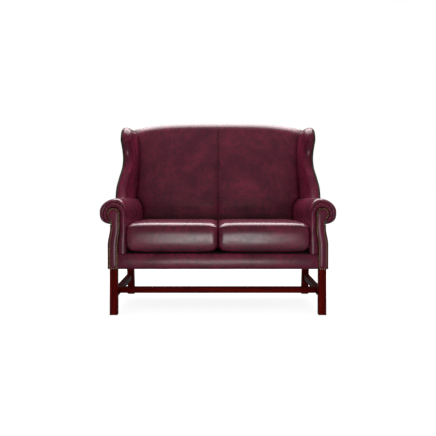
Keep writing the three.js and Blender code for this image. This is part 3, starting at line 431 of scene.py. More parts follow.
# %% Finish the timber and the springs
FINISHES = {
    "front_leg": mahogany["z"],
    "rear_leg": mahogany["z"],
    "side_stretcher": mahogany["y"],
    "cross_stretcher": mahogany["x"],
    "seat_spring": steel,
}
BEECH_PARTS = (
    "side_seat_rail", "front_corner", "rear_corner", "arm_stump", "arm_top_rail", "arm_board",
    "wing_board", "front_seat_rail", "rear_seat_rail", "seat_brace", "back_top", "back_lower",
    "back_centre",
)
FINISHES.update({start: beech for start in BEECH_PARTS})

for name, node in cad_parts.items():
    for start, material in FINISHES.items():
        if name.startswith(start):
            node.data.materials.clear()
            node.data.materials.append(material)
print(len(FINISHES), "kinds of timber and wire have their finish")

# %% [markdown]
# ## Camera
# The photograph is level: upright lines stay upright. So the camera looks straight along +Y, and
# its lens is shifted downwards instead of being tilted.

# %% Camera
IMAGE_PX = 436
FOCAL_PX = 605.5
HORIZON_PX = 175
EYE_HEIGHT = 0.7933
EYE_DISTANCE = 3.419  # from the front of the arms

lens = bpy.data.cameras.new("camera")
lens.lens = FOCAL_PX / IMAGE_PX * lens.sensor_width
lens.shift_y = (HORIZON_PX - IMAGE_PX / 2) / IMAGE_PX
camera = bpy.data.objects.new("camera", lens)
camera.location = (0.0, front_of_arms - EYE_DISTANCE, EYE_HEIGHT)
camera.rotation_euler = (math.radians(90), 0.0, 0.0)
bpy.context.scene.collection.objects.link(camera)
bpy.context.scene.camera = camera
print("lens", round(lens.lens, 1), "mm on a sensor of", lens.sensor_width, "mm")

# %% [markdown]
# ## Floor
# The settee stands on grey paper that looks white. Its colour alone can't be white without
# throwing light back at the leather, so the paper stays grey to the light, and white is added for
# the eye only, with the shadow left in it.

# %% What sees the white
def white_share(tree, mirrored_share):
    """1 to the eye, and to mirrors and glass as much as the studio's flags leave uncovered."""
    path = add_node(tree, "LightPath").outputs
    bounced = add_node(tree, "Math", {0: path["Is Glossy Ray"], 1: path["Is Transmission Ray"]},
                       operation="MAXIMUM")
    shown = add_node(tree, "Math", {0: bounced, 1: mirrored_share}, operation="MULTIPLY")
    return add_node(tree, "Math", {0: path["Is Camera Ray"], 1: shown}, operation="MAXIMUM")


# %% Pale floor
FLOOR_SIZE = 30.0
FLOOR_WHITE = 0.87
WHITE_FROM, WHITE_TO = 12, 20  # metres behind the settee where mirrors begin to see it white


def floor_material():
    material = bpy.data.materials.new("paper_floor")
    material.use_nodes = True
    tree = material.node_tree
    tree.nodes.clear()
    place = add_node(tree, "TexCoord").outputs["Object"]
    depth = add_node(tree, "SeparateXYZ", {"Vector": place}).outputs["Y"]
    behind = add_node(tree, "MapRange", {"Value": depth, "From Min": WHITE_FROM,
                                         "From Max": WHITE_TO})
    paper = add_node(tree, "BsdfDiffuse", {"Color": linear("#808080")})
    lifted = add_node(tree, "Math", {0: white_share(tree, behind), 1: FLOOR_WHITE},
                      operation="MULTIPLY")
    white = add_node(tree, "Emission", {"Color": linear("#ffffff"), "Strength": lifted})
    shown = add_node(tree, "AddShader", {0: paper, 1: white})
    add_node(tree, "OutputMaterial", {"Surface": shown})
    return material


bm = bmesh.new()
bmesh.ops.create_grid(bm, x_segments=2, y_segments=2, size=FLOOR_SIZE)
floor_mesh = bpy.data.meshes.new("floor")
bm.to_mesh(floor_mesh)
bm.free()
floor = bpy.data.objects.new("floor", floor_mesh)
floor_mesh.materials.append(floor_material())
bpy.context.scene.collection.objects.link(floor)
print("floor", 2 * FLOOR_SIZE, "m wide")

# %% [markdown]
# ## Studio room
# The room gives an even light from all round. Behind and above the settee hangs a white backdrop,
# and black flags stand in front and beside it, out of the picture. So the outline stays dark and
# only the tops of the leather mirror white. Real flags and a backdrop would be more pieces, so the
# world says this by the direction of a ray.

# %% Studio room
ROOM_LIGHT = 0.5
FRONT_LIGHT = 1.45
FLAG_DARKNESS = 0.03

world = bpy.data.worlds.new("studio")
world.use_nodes = True
tree = world.node_tree
tree.nodes.clear()
direction = add_node(tree, "TexCoord").outputs["Generated"]
towards = add_node(tree, "SeparateXYZ", {"Vector": direction}).outputs
above = add_node(tree, "MapRange", {"Value": towards["Z"], "From Min": 0.15, "From Max": 0.5})
behind = add_node(tree, "MapRange", {"Value": towards["Y"], "From Min": -0.1, "From Max": 0.4})
backdrop_share = add_node(tree, "Math", {0: above, 1: behind}, operation="MULTIPLY")
soft_level = add_node(tree, "MapRange", {"Value": towards["Y"], "From Min": -0.7, "From Max": 0.3,
                                         "To Min": FRONT_LIGHT, "To Max": ROOM_LIGHT})
path = add_node(tree, "LightPath").outputs
room_level = add_node(tree, "MapRange", {"Value": path["Is Glossy Ray"], "To Min": soft_level,
                                         "To Max": FLAG_DARKNESS})
room = add_node(tree, "Background", {"Color": linear("#ffffff"), "Strength": room_level})
backdrop = add_node(tree, "Background", {"Color": linear("#ffffff"), "Strength": 1.0})
either = add_node(tree, "MixShader", {0: white_share(tree, backdrop_share), 1: room, 2: backdrop})
add_node(tree, "OutputWorld", {"Surface": either})
bpy.context.scene.world = world
bpy.context.scene.view_settings.view_transform = "Standard"
print("room light", ROOM_LIGHT, "and", FRONT_LIGHT, "from the front")

# %% [markdown]
# ## Lamps
# A wide soft light overhead draws the pale lines along the tops of the back, arms and cushions. A
# low strip in front of the settee gives the broad grey shine on the upright faces.

# %% Lamps
def soft_light(name, place, aim, size, watts):
    lamp = bpy.data.lights.new(name, "AREA")
    lamp.shape = "RECTANGLE"
    lamp.size, lamp.size_y = size
    lamp.energy = watts
    light = bpy.data.objects.new(name, lamp)
    light.location = place
    light.rotation_euler = (Vector(aim) - Vector(place)).to_track_quat("-Z", "Y").to_euler()
    bpy.context.scene.collection.objects.link(light)
    print(name, watts, "W")


soft_light("overhead", (0.0, 0.72, 2.9), (0.0, 0.2, 0.6), (2.5, 2.4), 172)
soft_light("low_strip", (0.0, -2.6, 0.15), (0.0, -0.35, 0.4), (1.1, 0.22), 16)

# %% [markdown]
# ## Lines of the settee
# These are the lines that the pieces share: the rake of the back, the keyhole of the arm facings,
# the round of the scroll. A piece is drawn from them, so neighbours meet without being fitted.

# %% Shared sizes
LEG_TOP = 259.0
RAIL_TOP = 341.0
SEAT_DEPTH = 567.0
BACK_LEAN = 0.1853
FRAME_SIDE = 602.0
POST = 44.0
ARM_TOP = 661.0
ARM_RAIL = 41.0
ARM_BOARD = 4.0
WEBBING_DEPTH = 4.9
FIT = 0.3  # between leather and timber
SNUG = 0.8  # between two pieces of leather


def back_line(z):
    """Front of the back's timber at a height."""
    return SEAT_DEPTH + max(0.0, z - RAIL_TOP) * BACK_LEAN


# %% Sides of the arm facing
HEAD = Vector((592.3, 572.0))
HEAD_RADIUS = 32.5
NECK_MIDDLE = 492.0
FOOT_TOP = 397.0
NECK_WIDTH = 39.7
BASE_WIDTH = 41.0
BASE_OUTSET = 13.0


def facing_side(foot, neck, z):
    """The facing is straight at its foot and bends over to its neck."""
    left = HEAD.x - HEAD_RADIUS
    return mix(left + BASE_OUTSET + foot, left + neck,
               softstep((z - FOOT_TOP) / (NECK_MIDDLE - FOOT_TOP)))


def facing_inner(z):
    return facing_side((NECK_WIDTH - BASE_WIDTH) / 2, 0.0, z)


def facing_outer(z):
    return facing_side((NECK_WIDTH + BASE_WIDTH) / 2, NECK_WIDTH, z)


print("facing", round(facing_outer(LEG_TOP) - facing_inner(LEG_TOP), 1), "mm wide at its foot")

# %% [markdown]
# ## Arm facings
# The front of each arm is closed by a keyhole panel: leather over a thin pad on a shaped board,
# held by a close row of brass nails. It could be a curve with a bevel, but a bevel can't crown the
# pad. So it is drawn as the line of the nails and grown or shrunk from it. The rings run from the
# back edge round to the middle, where the pad stands highest.

# %% Keyhole outline
SHOULDER_ANGLE = -0.6
FACING_MARGIN = 4.0
SIDE_STEPS = 12


def keyhole(bottom, grow):
    """The facing's outline as [x, z], grown from the line of nails, starting at its outer foot."""
    low = even(bottom, FOOT_TOP, SIDE_STEPS)
    neck = even(FOOT_TOP, NECK_MIDDLE, SIDE_STEPS)
    outer = [(facing_outer(z) + grow, z) for z in low[:-1] + neck]
    radius = HEAD_RADIUS + grow
    shoulder = HEAD + radius * Vector((math.cos(SHOULDER_ANGLE), math.sin(SHOULDER_ANGLE)))
    start = Vector(outer[-1])
    bend = Vector((start.x, HEAD.y - HEAD_RADIUS - grow / 2))
    fillet = [
        start * (1 - t) ** 2 + bend * 2 * t * (1 - t) + shoulder * t * t for t in even(0, 1, 10)
    ][1:-1]
    head = [
        HEAD + radius * Vector((math.cos(a), math.sin(a)))
        for a in even(SHOULDER_ANGLE, math.pi, 40)
    ]
    down = even(HEAD.y, NECK_MIDDLE, SIDE_STEPS) + neck[::-1][1:] + low[::-1][1:]
    inner = [(facing_inner(z) - grow, z) for z in down[1:]]
    base = even(facing_inner(bottom) - grow, facing_outer(bottom) + grow, 6)[1:-1]
    return [*outer, *fillet, *head, *inner, *((x, bottom) for x in base)]


# %% Facing panels
FACING_THICKNESS = 14.0
PAD_EDGE = 8.0  # depth at which the leather begins to turn from the side to the face
EDGE_TURN = 3.0
NAIL_DEPTH = 3.6
FACING_CROWN = 6.0
CORE = 17.0
# Depth from which, and run over which, the facing's edge is painted in shade round the nails
NAIL_SHADE_FROM, NAIL_SHADE_RUN = 1.4, 1.2


def facing_ring(grow, y):
    return [(x, y, z) for x, z in keyhole(LEG_TOP + (FACING_MARGIN - grow), grow)]


def arm_facing():
    rings = [facing_ring(FACING_MARGIN, FACING_THICKNESS), facing_ring(FACING_MARGIN, PAD_EDGE)]
    for a in even(0, math.pi / 2, 4)[1:]:
        grow = FACING_MARGIN - EDGE_TURN * (1 - math.cos(a))
        rings.append(facing_ring(grow, PAD_EDGE - (PAD_EDGE - NAIL_DEPTH) * math.sin(a)))
    for share in even(0, 1, 12)[1:]:
        rise = 0.15 * share + 0.85 * math.sin(share * math.pi / 2)
        grow = mix(FACING_MARGIN - EDGE_TURN, -CORE, share)
        rings.append(facing_ring(grow, NAIL_DEPTH - FACING_CROWN * rise))
    return loft(rings)


for side, sign in SIDES:
    bm = mirrored(arm_facing(), sign)
    uneven(bm, height=0.5, spacing=60, seed=3.0)
    # Painted shade: the leather round the line of nails goes near black
    gather_glaze_and_painted_shade(bm, lambda x, y, z: (y - NAIL_SHADE_FROM) / NAIL_SHADE_RUN)
    piece = finish(bm, f"facing_{side}", panel_leather,
                   stands_for=[f"arm_facing_{side}"])

# %% [markdown]
# ## Gathered borders
# Between the facing and the scroll runs a padded border. Over the scroll its leather has to go
# round a tight curve, so it is gathered into pleats that are pinched at the nails and die away
# towards the outside. A bump in the material would leave its outline smooth, so the pleats are
# shape: the border is a section carried along its path and pinched at every pleat.

# %% The border's path
BORDER_REACH = 26.0
BORDER_INNER_REACH = 37.5
BORDER_END = -1.05
BORDER_LIFT = 7.0
BORDER_FOOT = 347.3
END_OPENING = 14.0
PLEATS = 9
STEPS_PER_PLEAT = 8
STRAIGHT_STEPS = 40
INNER_SIDE = HEAD.x - HEAD_RADIUS - BORDER_INNER_REACH


def border_path(grow=0.0):
    """Places along the border: its outer edge, its inner edge and how far round a pleat it is."""
    places = []
    for z in even(BORDER_FOOT, HEAD.y, STRAIGHT_STEPS):
        edge = facing_inner(z) - FACING_MARGIN - FIT + grow
        places.append(((INNER_SIDE - grow, z), (edge, z), None))
    end = BORDER_END - grow * 2 / HEAD_RADIUS
    for i, a in enumerate(even(math.pi, end, PLEATS * STEPS_PER_PLEAT)[1:], start=1):
        reach = mix(BORDER_INNER_REACH, BORDER_REACH, softstep((math.pi - a) / (math.pi * 0.55)))
        width = HEAD_RADIUS + reach + grow
        height = HEAD_RADIUS + BORDER_REACH + grow + BORDER_LIFT * (1 + math.sin(a)) / 2
        inner = HEAD_RADIUS + FACING_MARGIN + FIT - grow
        inner += END_OPENING * max(0.0, SHOULDER_ANGLE - a) ** 2
        places.append((
            (HEAD.x + width * math.cos(a), HEAD.y + height * math.sin(a)),
            (HEAD.x + inner * math.cos(a), HEAD.y + inner * math.sin(a)),
            (i / STEPS_PER_PLEAT) % 1.0,
        ))
    return places


# %% Border pieces
BORDER_SETBACK = 3.0
BORDER_DEPTH = 32.0
BORDER_BULGE = 10.0
PLEAT_DEPTH = 3.4


def pinch(turn):
    """1 in the fold of a pleat and 0 on the puff between two."""
    if turn is None:
        return 0.0
    return max(0.0, 1 - min(turn, 1 - turn) * 4.5) ** 1.5


def gathered_border():
    rings = []
    for outer, inner, turn in border_path():
        fold = pinch(turn)
        ring = []
        for t in even(0, 1, 16):
            bulge = BORDER_BULGE * math.sin(math.pi * t**0.85) ** 0.75
            pleat = PLEAT_DEPTH * fold * math.sin(math.pi * min(1.0, t * 1.15)) * (0.35 + t)
            y = BORDER_SETBACK + BORDER_BULGE - bulge + max(0.0, pleat)
            ring.append((mix(outer[0], inner[0], t), y, mix(outer[1], inner[1], t)))
        back = BORDER_SETBACK + BORDER_DEPTH
        ring += [(inner[0], back, inner[1]), (outer[0], back, outer[1])]
        rings.append(ring)
    return loft(rings)


for side, sign in SIDES:
    bm = mirrored(gathered_border(), sign)
    uneven(bm, height=0.7, spacing=45, seed=9.0)
    piece = finish(bm, f"border_{side}", panel_leather,
                   stands_for=[f"arm_gathered_border_{side}"], sharp=50)

# %% [markdown]
# ## Arms
# The inside of the arm, the scroll and its underside are one pull of leather over stuffing. The
# section is a tall inner side that runs into a round, and it changes little along the arm. At the
# front it turns in over a lip and disappears behind the border. A cylinder with a box under it
# would show a joint where the leather has none, so the whole section is drawn as one line.

# %% The arm's line
SCROLL_Z = 581.0
ARM_SIDE = 675.0
ARM_RIDGE = 575.0
ARM_FRONT = 9.0
ARM_DRIFT = 32.0
ARM_FALL = 18.0
SCROLL_OUT_DRIFT = 8.0
REAR_ROUND_START = 543.0


def arm_share(y):
    return max(0.0, (y - ARM_FRONT) / (SEAT_DEPTH - ARM_FRONT))


def arm_inner(y):
    return mix(INNER_SIDE + SNUG, INNER_SIDE - ARM_DRIFT, arm_share(y))


def arm_round(y):
    """The arm's ridge, how far its round reaches inwards and outwards, and how high it stands."""
    outer = ARM_SIDE - SCROLL_OUT_DRIFT * arm_share(y)
    ridge = ARM_RIDGE - ARM_DRIFT * 0.6 * arm_share(y)
    rise = ARM_TOP - ARM_FALL * arm_share(y) - SCROLL_Z
    return ridge, ridge - arm_inner(y), outer - ridge, rise


def arm_shoulder(y):
    """Height at which the inner side starts to turn over: lower towards the back."""
    return mix(SCROLL_Z, REAR_ROUND_START, arm_share(y))


# %% The arm's section
SCROLL_DROP = 70.0
UNDER_EDGE = FRAME_SIDE + 8.0
UNDER_SQUARE = 0.68
ARM_FOOT = 349.0
ARM_STEPS_UP = 24
ARM_STEPS_ROUND = 72


def arm_section(y):
    ridge, inward, outward, rise = arm_round(y)
    start = arm_shoulder(y)
    points = [(arm_inner(y), z) for z in even(ARM_FOOT, start, ARM_STEPS_UP)]
    end = -math.acos(((UNDER_EDGE - ridge) / outward) ** (1 / UNDER_SQUARE))
    for a in even(math.pi, end, ARM_STEPS_ROUND)[1:]:
        if a > math.pi / 2:
            taller = SCROLL_Z + rise - start
            points.append((ridge + inward * math.cos(a), start + taller * math.sin(a)))
        elif a >= 0:
            points.append((ridge + outward * math.cos(a), SCROLL_Z + rise * math.sin(a)))
        else:
            out = math.cos(a) ** UNDER_SQUARE
            down = abs(math.sin(a)) ** UNDER_SQUARE
            points.append((ridge + outward * out, SCROLL_Z - SCROLL_DROP * down))
    return points


# %% The pocket behind the border
POCKET_BACK = BORDER_SETBACK + BORDER_DEPTH + FIT
ARM_RAIL_TOP = 580.0
PAD_BACK = FRAME_SIDE - ARM_RAIL - ARM_BOARD - 2 * FIT


def pocket_section():
    """The border's outline with the same number of points as the arm's section."""
    straight = [(INNER_SIDE - SNUG / 2, z) for z in even(ARM_FOOT, HEAD.y, ARM_STEPS_UP)]
    path = [Vector(outer) for outer, _, turn in border_path(SNUG / 2) if turn is not None]
    path.insert(0, Vector(straight[-1]))
    points = []
    for i in range(1, ARM_STEPS_ROUND + 1):
        along = i / ARM_STEPS_ROUND * (len(path) - 1)
        k = min(int(along), len(path) - 2)
        points.append(tuple(path[k].lerp(path[k + 1], along - k)))
    return straight + points


def inner_corners(last_z):
    """Where the pad stops against the arm's rail and board."""
    return [
        (FRAME_SIDE + FIT, last_z),
        (FRAME_SIDE + FIT, ARM_RAIL_TOP + FIT),
        (PAD_BACK, ARM_RAIL_TOP + FIT),
        (PAD_BACK, ARM_FOOT),
    ]


# %% The lip at the front
LIP_FRONT_SHARE = 0.24
LIP_INNER_RADIUS = 7.0
LIP_OUTER_RADIUS = 27.0
LIP_RUN = 12.0  # the lip comes fully forward where the arm stands this far outside the pocket


def lip_profile():
    """Across the lip: share of its width, and how far behind the front of the arm."""
    inner = [
        (LIP_FRONT_SHARE * (1 - math.cos(a)), LIP_INNER_RADIUS * (1 - math.sin(a)))
        for a in even(0, math.pi / 2, 6)
    ]
    outer = [
        (mix(LIP_FRONT_SHARE, 1, math.sin(a)), LIP_OUTER_RADIUS * (1 - math.cos(a)))
        for a in even(0, math.pi / 2, 8)[1:]
    ]
    return inner + outer


def arm_lip(closing):
    """Rings from the bottom of the pocket out to the arm's full section."""
    pocket = pocket_section()
    full = arm_section(POCKET_BACK)
    rings = [[(x, POCKET_BACK, z) for x, z in pocket] + closing]
    forward = [softstep((Vector(a) - Vector(b)).length / LIP_RUN) for a, b in zip(full, pocket)]
    for share, behind in lip_profile():
        ring = []
        for (px, pz), (fx, fz), pull in zip(pocket, full, forward):
            y = POCKET_BACK - pull * (POCKET_BACK - ARM_FRONT - behind)
            ring.append((mix(px, fx, share), y, mix(pz, fz, share)))
        rings.append(ring + closing)
    return rings


# %% Arm pieces
FIRST_STATION = 60.0


def inside_arm():
    full = arm_section(POCKET_BACK)
    rings = arm_lip([(x, POCKET_BACK, z) for x, z in inner_corners(full[-1][1])])
    for y in [POCKET_BACK, *even(FIRST_STATION, SEAT_DEPTH - ARM_DRIFT, 26)]:
        section = arm_section(y)
        rings.append([(x, y, z) for x, z in section + inner_corners(section[-1][1])])
    section = arm_section(SEAT_DEPTH)
    section += inner_corners(section[-1][1])
    post_front = [(x, back_line(z) - WEBBING_DEPTH, z) for x, z in section]
    beside_post = [
        (x, back_line(z) + POST if x >= FRAME_SIDE else y, z) for x, y, z in post_front
    ]
    return loft([*rings, post_front, beside_post])


for side, sign in SIDES:
    bm = mirrored(inside_arm(), sign)
    uneven(bm, height=0.9, spacing=110, seed=20.0)
    piece = finish(bm, f"arm_{side}", padded_leather,
                   stands_for=[f"inside_arm_{side}"], sharp=45)

# %% [markdown]
# ## Outside arms
# Below the scroll a flat cover closes the side, from the facing back over the rear leg. It is
# nearly a flat panel, so its section is an upright strip that follows the facing's side and
# flattens out behind it.

# %% Outside arms
SIDE_SKIN = 14.0
OUTSIDE_THICKNESS = 10.0
STUMP_FRONT, STUMP_BACK = 14.3, 40.3
STUMP_INSET = 4.0
STUMP_CORNER = 0.1
UNDER_SCROLL = SCROLL_Z - SCROLL_DROP - SNUG
EDGE_ROUND = 5.0


def outside_arm_section(y, inset):
    share = softstep((y - STUMP_FRONT) / SEAT_DEPTH)
    heights = [LEG_TOP, *even(LEG_TOP + 3, FOOT_TOP, 12), *even(FOOT_TOP, UNDER_SCROLL, 24)[1:]]
    outer = [
        (mix(facing_outer(z) + SIDE_SKIN, FRAME_SIDE + OUTSIDE_THICKNESS, share) - inset, z)
        for z in heights
    ]
    beside_stump = y < STUMP_BACK + FIT
    inner = []
    for z in reversed(heights):
        stump = facing_outer(z) - STUMP_INSET + FIT
        inner.append((max(FRAME_SIDE + FIT, stump if beside_stump else 0.0), z))
    return outer + inner


def outside_arm():
    stations = [
        (STUMP_FRONT + EDGE_ROUND * (1 - math.cos(a)), EDGE_ROUND * (1 - math.sin(a)))
        for a in even(0, math.pi / 2, 5)
    ]
    corner = STUMP_BACK + FIT
    plain = [corner - STUMP_CORNER, corner + STUMP_CORNER]
    plain += even(FIRST_STATION, SEAT_DEPTH + POST, 18)
    stations += [(y, 0.0) for y in plain]
    return loft([[(x, y, z) for x, z in outside_arm_section(y, inset)] for y, inset in stations])


for side, sign in SIDES:
    bm = mirrored(outside_arm(), sign)
    finish(bm, f"arm_outside_{side}", panel_leather,
           stands_for=[f"outside_arm_{side}"])

# %% [markdown]
# ## Front rail cover
# The front rail is padded and covered between the two facings. Its section is a shallow D with
# soft edges, carried straight across and drawn in a little where it meets the facings. A bevelled
# box would be as quick, but its front would mirror the light as one flat sheet.

# %% The rail cover
COVER_TOP = 347.0
COVER_THICKNESS = 19.0
COVER_FRONT = 1.0
COVER_BULGE = 7.5
COVER_PEAK = 0.42
COVER_ROUND = 11.0
COVER_LOW_ROUND = 18.0
COVER_SOFTNESS = 0.7
END_DRAW, END_RUN = 3.0, 16.0


def rail_cover_section(flat):
    """flat is how far the front face is drawn back, near the ends."""
    points = []
    for z in even(LEG_TOP, COVER_TOP, 36):
        up = (z - LEG_TOP) / (COVER_TOP - LEG_TOP)
        rounding = 0.0
        for edge, radius in ((z - LEG_TOP, COVER_LOW_ROUND), (COVER_TOP - z, COVER_ROUND)):
            if edge < radius:
                drop = radius - math.sqrt(radius**2 - (radius - edge) ** 2)
                rounding += COVER_SOFTNESS * drop
        bulge = COVER_BULGE * ((up - COVER_PEAK) / (1 - COVER_PEAK)) ** 2
        points.append((COVER_FRONT + bulge + rounding + flat, z))
    return points + [(COVER_THICKNESS, COVER_TOP), (COVER_THICKNESS, LEG_TOP)]


def rail_cover():
    reach = facing_inner(LEG_TOP) - FACING_MARGIN - FIT
    rings = []
    for share in even(-1, 1, 72):
        x = reach * math.copysign(abs(share) ** 0.8, share)
        flat = END_DRAW * math.exp(-(((reach - abs(x)) / END_RUN) ** 2))
        rings.append([(x, y, z) for y, z in rail_cover_section(flat)])
    return loft(rings)


bm = rail_cover()
uneven(bm, height=0.7, spacing=90, seed=31.0)
piece = finish(bm, "rail_cover", panel_leather, stands_for=["front_rail_cover"])

# %% [markdown]
# ## Wings
# Each wing is a board padded on its inside and round its front edge, with the outside cover
# brought round to the edge and nailed. Its front line is an S from the arm to a rounded ear. The
# section is drawn level, and each line of the skin starts where it meets the arm below it. A
# boolean cut would leave an open edge there, and would have to be made again after each change.

# %% The wing's front line
WING_RISE = 438.0
WING_TOP = ARM_TOP + WING_RISE
# Height share, depth share of the front edge, and how far out its side stands there
WING_FRONT = (
    (-0.13, 0.47, 628), (0.0, 0.543, 636), (0.13, 0.606, 636), (0.26, 0.664, 626),
    (0.4, 0.725, 613), (0.53, 0.757, 609), (0.64, 0.752, 612), (0.73, 0.726, 616),
    (0.8, 0.7, 619),
)
EAR_ROUND = 104.0
EAR_DOME = 36.0
EAR_SHARE = 0.2
EAR_EDGE = 0.04  # the thinnest that the ear gets, as a share


def wing_edge(share):
    """Height, depth and side of the front edge, and fullness of the wing, from foot to ear."""
    points = [
        Vector((ARM_TOP + up * WING_RISE, back * SEAT_DEPTH, side)) for up, back, side in WING_FRONT
    ]
    if share > 1 - EAR_SHARE:
        a = (share - 1 + EAR_SHARE) / EAR_SHARE * math.pi / 2
        last = points[-1]
        z = last.x + (WING_TOP - last.x) * math.sin(a)
        y = last.y + EAR_ROUND * (1 - math.cos(a))
        narrowing = max(0.0, 1 - (WING_TOP - z) / EAR_DOME)
        return z, y, last.z, max(EAR_EDGE, math.sqrt(1 - narrowing**2))
    along = share / (1 - EAR_SHARE) * (len(points) - 1)
    k = min(int(along), len(points) - 2)
    t = along - k
    a, b, c, d = (points[min(max(i, 0), len(points) - 1)] for i in range(k - 1, k + 3))
    before, after = (c - a) / 2, (d - b) / 2
    place = (2 * b - 2 * c + before + after) * t**3 + (3 * c - 3 * b - 2 * before - after) * t**2
    place += before * t + b
    return place.x, place.y, place.z, 1.0


def edge_share(z):
    """The share of the wing's height at a height, found by halving."""
    low, high = 0.0, 1.0
    for _ in range(20):
        middle = (low + high) / 2
        low, high = (middle, high) if wing_edge(middle)[0] < z else (low, middle)
    return high


# %% Where the wing meets the back
WING_INSIDE = 73.0
NARROWEST = ARM_TOP + 0.46 * WING_RISE
SPREAD_UP, SPREAD_DOWN = 0.055, 0.017


def wing_inner(z):
    """Half the distance between the wings where they meet the back."""
    up = (z - NARROWEST) / (WING_TOP - NARROWEST)
    half = FRAME_SIDE - WING_INSIDE
    if up > 0:
        return half * (1 + SPREAD_UP * min(1.0, up) ** 3)
    return half * (1 + SPREAD_DOWN * up * up)


# %% The wing's section
WING_OUTSET = 10.6
NOSE_OUTER = 29.0
NOSE_INNER = 39.0
NOSE_LENGTH_OUTSIDE = 34.0
NOSE_LENGTH_INSIDE = 38.0
WING_SWELL = 9.0
WING_BOARD_FACE = 594.0
WING_BOARD = 16.0
TOP_SLOPE = 9.0


def thinned(x, fullness):
    """Draws a point in towards the board, where the ear gets thin."""
    core = FRAME_SIDE + FIT if x > FRAME_SIDE else WING_BOARD_FACE - WING_BOARD / 2
    return mix(core, x, fullness)


def wing_skin(share, part, t):
    """A point of the wing's skin. part is outside, tip or inside, and t runs along that part."""
    z, nose, side, fullness = wing_edge(share)
    rear = back_line(z) + POST
    middle = side - NOSE_OUTER
    if part == "outside":
        y = mix(rear, nose + NOSE_LENGTH_OUTSIDE, t)
        x = mix(FRAME_SIDE + WING_OUTSET, side, softstep(t))
    elif part == "tip":
        outside = t < math.pi / 2
        length = NOSE_LENGTH_OUTSIDE if outside else NOSE_LENGTH_INSIDE
        x = middle + (NOSE_OUTER if outside else NOSE_INNER) * math.cos(t)
        y = nose + length * (1 - math.sin(t))
    else:
        y = mix(nose + NOSE_LENGTH_INSIDE, back_line(z) - WEBBING_DEPTH, t)
        x = mix(middle - NOSE_INNER, wing_inner(z), t) - WING_SWELL * math.sin(math.pi * t) ** 1.5
    slope = TOP_SLOPE * softstep((share - 0.7) / 0.3) * (y - nose) / (rear - nose)
    return Vector((thinned(x, fullness), y, z - slope))


# %% Where the wing meets the arm
def arm_height(x, y):
    """Top of the arm's leather at a place, or the level where it starts, beside the arm."""
    ridge, inward, outward, rise = arm_round(y)
    across = (x - ridge) / (inward if x < ridge else outward)
    start = arm_shoulder(y) if x < ridge else SCROLL_Z
    if abs(across) >= 1:
        return start
    return start + (SCROLL_Z + rise - start) * math.sqrt(1 - across * across)


def meets_arm(part, t):
    """The share of the wing's height at which a line of its skin comes out of the arm."""
    low, high = 0.0, 0.5
    for _ in range(24):
        middle = (low + high) / 2
        point = wing_skin(middle, part, t)
        if point.z < arm_height(point.x, point.y) + SNUG:
            low = middle
        else:
            high = middle
    return high


WING_STEPS = 90


def wing_columns(lines):
    """Rings of the wing, one point on each line, from the arm up to the ear."""
    starts = [meets_arm(part, t) for part, t in lines]
    return [
        [wing_skin(mix(start, 1.0, rise), part, t) for (part, t), start in zip(lines, starts)]
        for rise in even(0, 1, WING_STEPS)
    ]


# %% Inside wings
NAIL_TURN = math.radians(61)  # how far round the nose the nails stand
NAIL_INSET = 12.0
BOARD_INSET = 24.0


def inside_wing():
    lines = [("tip", a) for a in even(NAIL_TURN, math.pi, 34)]
    lines += [("inside", t) for t in even(0, 1, 30)[1:]]
    foot = meets_arm("tip", math.pi / 2)
    board_back, board_front = WING_BOARD_FACE - WING_BOARD - FIT, WING_BOARD_FACE + FIT
    closed = []
    for rise, ring in zip(even(0, 1, WING_STEPS), wing_columns(lines)):
        fullness = wing_edge(mix(foot, 1.0, rise))[3]
        first, last = ring[0], ring[-1]
        nose = first.y - NOSE_LENGTH_OUTSIDE * (1 - math.sin(NAIL_TURN))
        corners = [
            (board_back, last.y, last.z),
            (board_back, nose + BOARD_INSET - FIT, first.z),
            (board_front, nose + BOARD_INSET - FIT, first.z),
            (board_front, nose + NAIL_INSET - SNUG, first.z),
        ]
        closed.append([*map(tuple, ring), *((thinned(x, fullness), y, z) for x, y, z in corners)])
    return loft(closed)


for side, sign in SIDES:
    bm = mirrored(inside_wing(), sign)
    uneven(bm, height=0.6, spacing=120, seed=41.0)
    piece = finish(bm, f"wing_{side}", panel_leather,
                   stands_for=[f"inside_wing_{side}"], sharp=50)

# %% Outside wings
DARK_EDGE_RUN = NOSE_LENGTH_OUTSIDE * 1.3


def wing_dark_edge(x, y, z):
    """The nailed edge of the outside cover, dark from the nails back to the side."""
    return 1.6 - (y - wing_edge(edge_share(z))[1]) / DARK_EDGE_RUN


def outside_wing():
    lines = [("outside", t) for t in even(0, 1, 18)]
    lines += [("tip", a) for a in even(0, NAIL_TURN, 10)[1:]]
    closed = []
    for ring in wing_columns(lines):
        first, last = ring[0], ring[-1]
        junction = back_line(last.z) - WEBBING_DEPTH
        closed.append([
            *map(tuple, ring),
            (WING_BOARD_FACE + FIT, last.y + SNUG, last.z),
            (WING_BOARD_FACE + FIT, max(last.y + 2, junction), last.z),
            (FRAME_SIDE + FIT, max(last.y + 3, junction), last.z),
            (FRAME_SIDE + FIT, first.y, first.z),
        ])
    return loft(closed)


for side, sign in SIDES:
    bm = mirrored(outside_wing(), sign)
    gather_glaze_and_painted_shade(bm, wing_dark_edge)
    finish(bm, f"wing_outside_{side}", panel_leather,
           stands_for=[f"outside_wing_{side}"], sharp=45)

# %% [markdown]
# ## Inside back
# The back is two padded panels sewn together down the middle and pulled over the top rail, where
# they turn into a soft roll. Its top line is a flat arch that falls away at the wings. Each half
# is a section taken from the seat up and over the roll, carried from the seam to the wing, so the
# padding can end exactly where the arm and the wing begin.

# %% How far out the back may reach
BACK_TOP = ARM_TOP + 478.6
SHOULDER_FALL = 46.0
SHOULDER_X = 558.0


def shoulder_height(x):
    return BACK_TOP - SHOULDER_FALL * (abs(x) / SHOULDER_X) ** 4


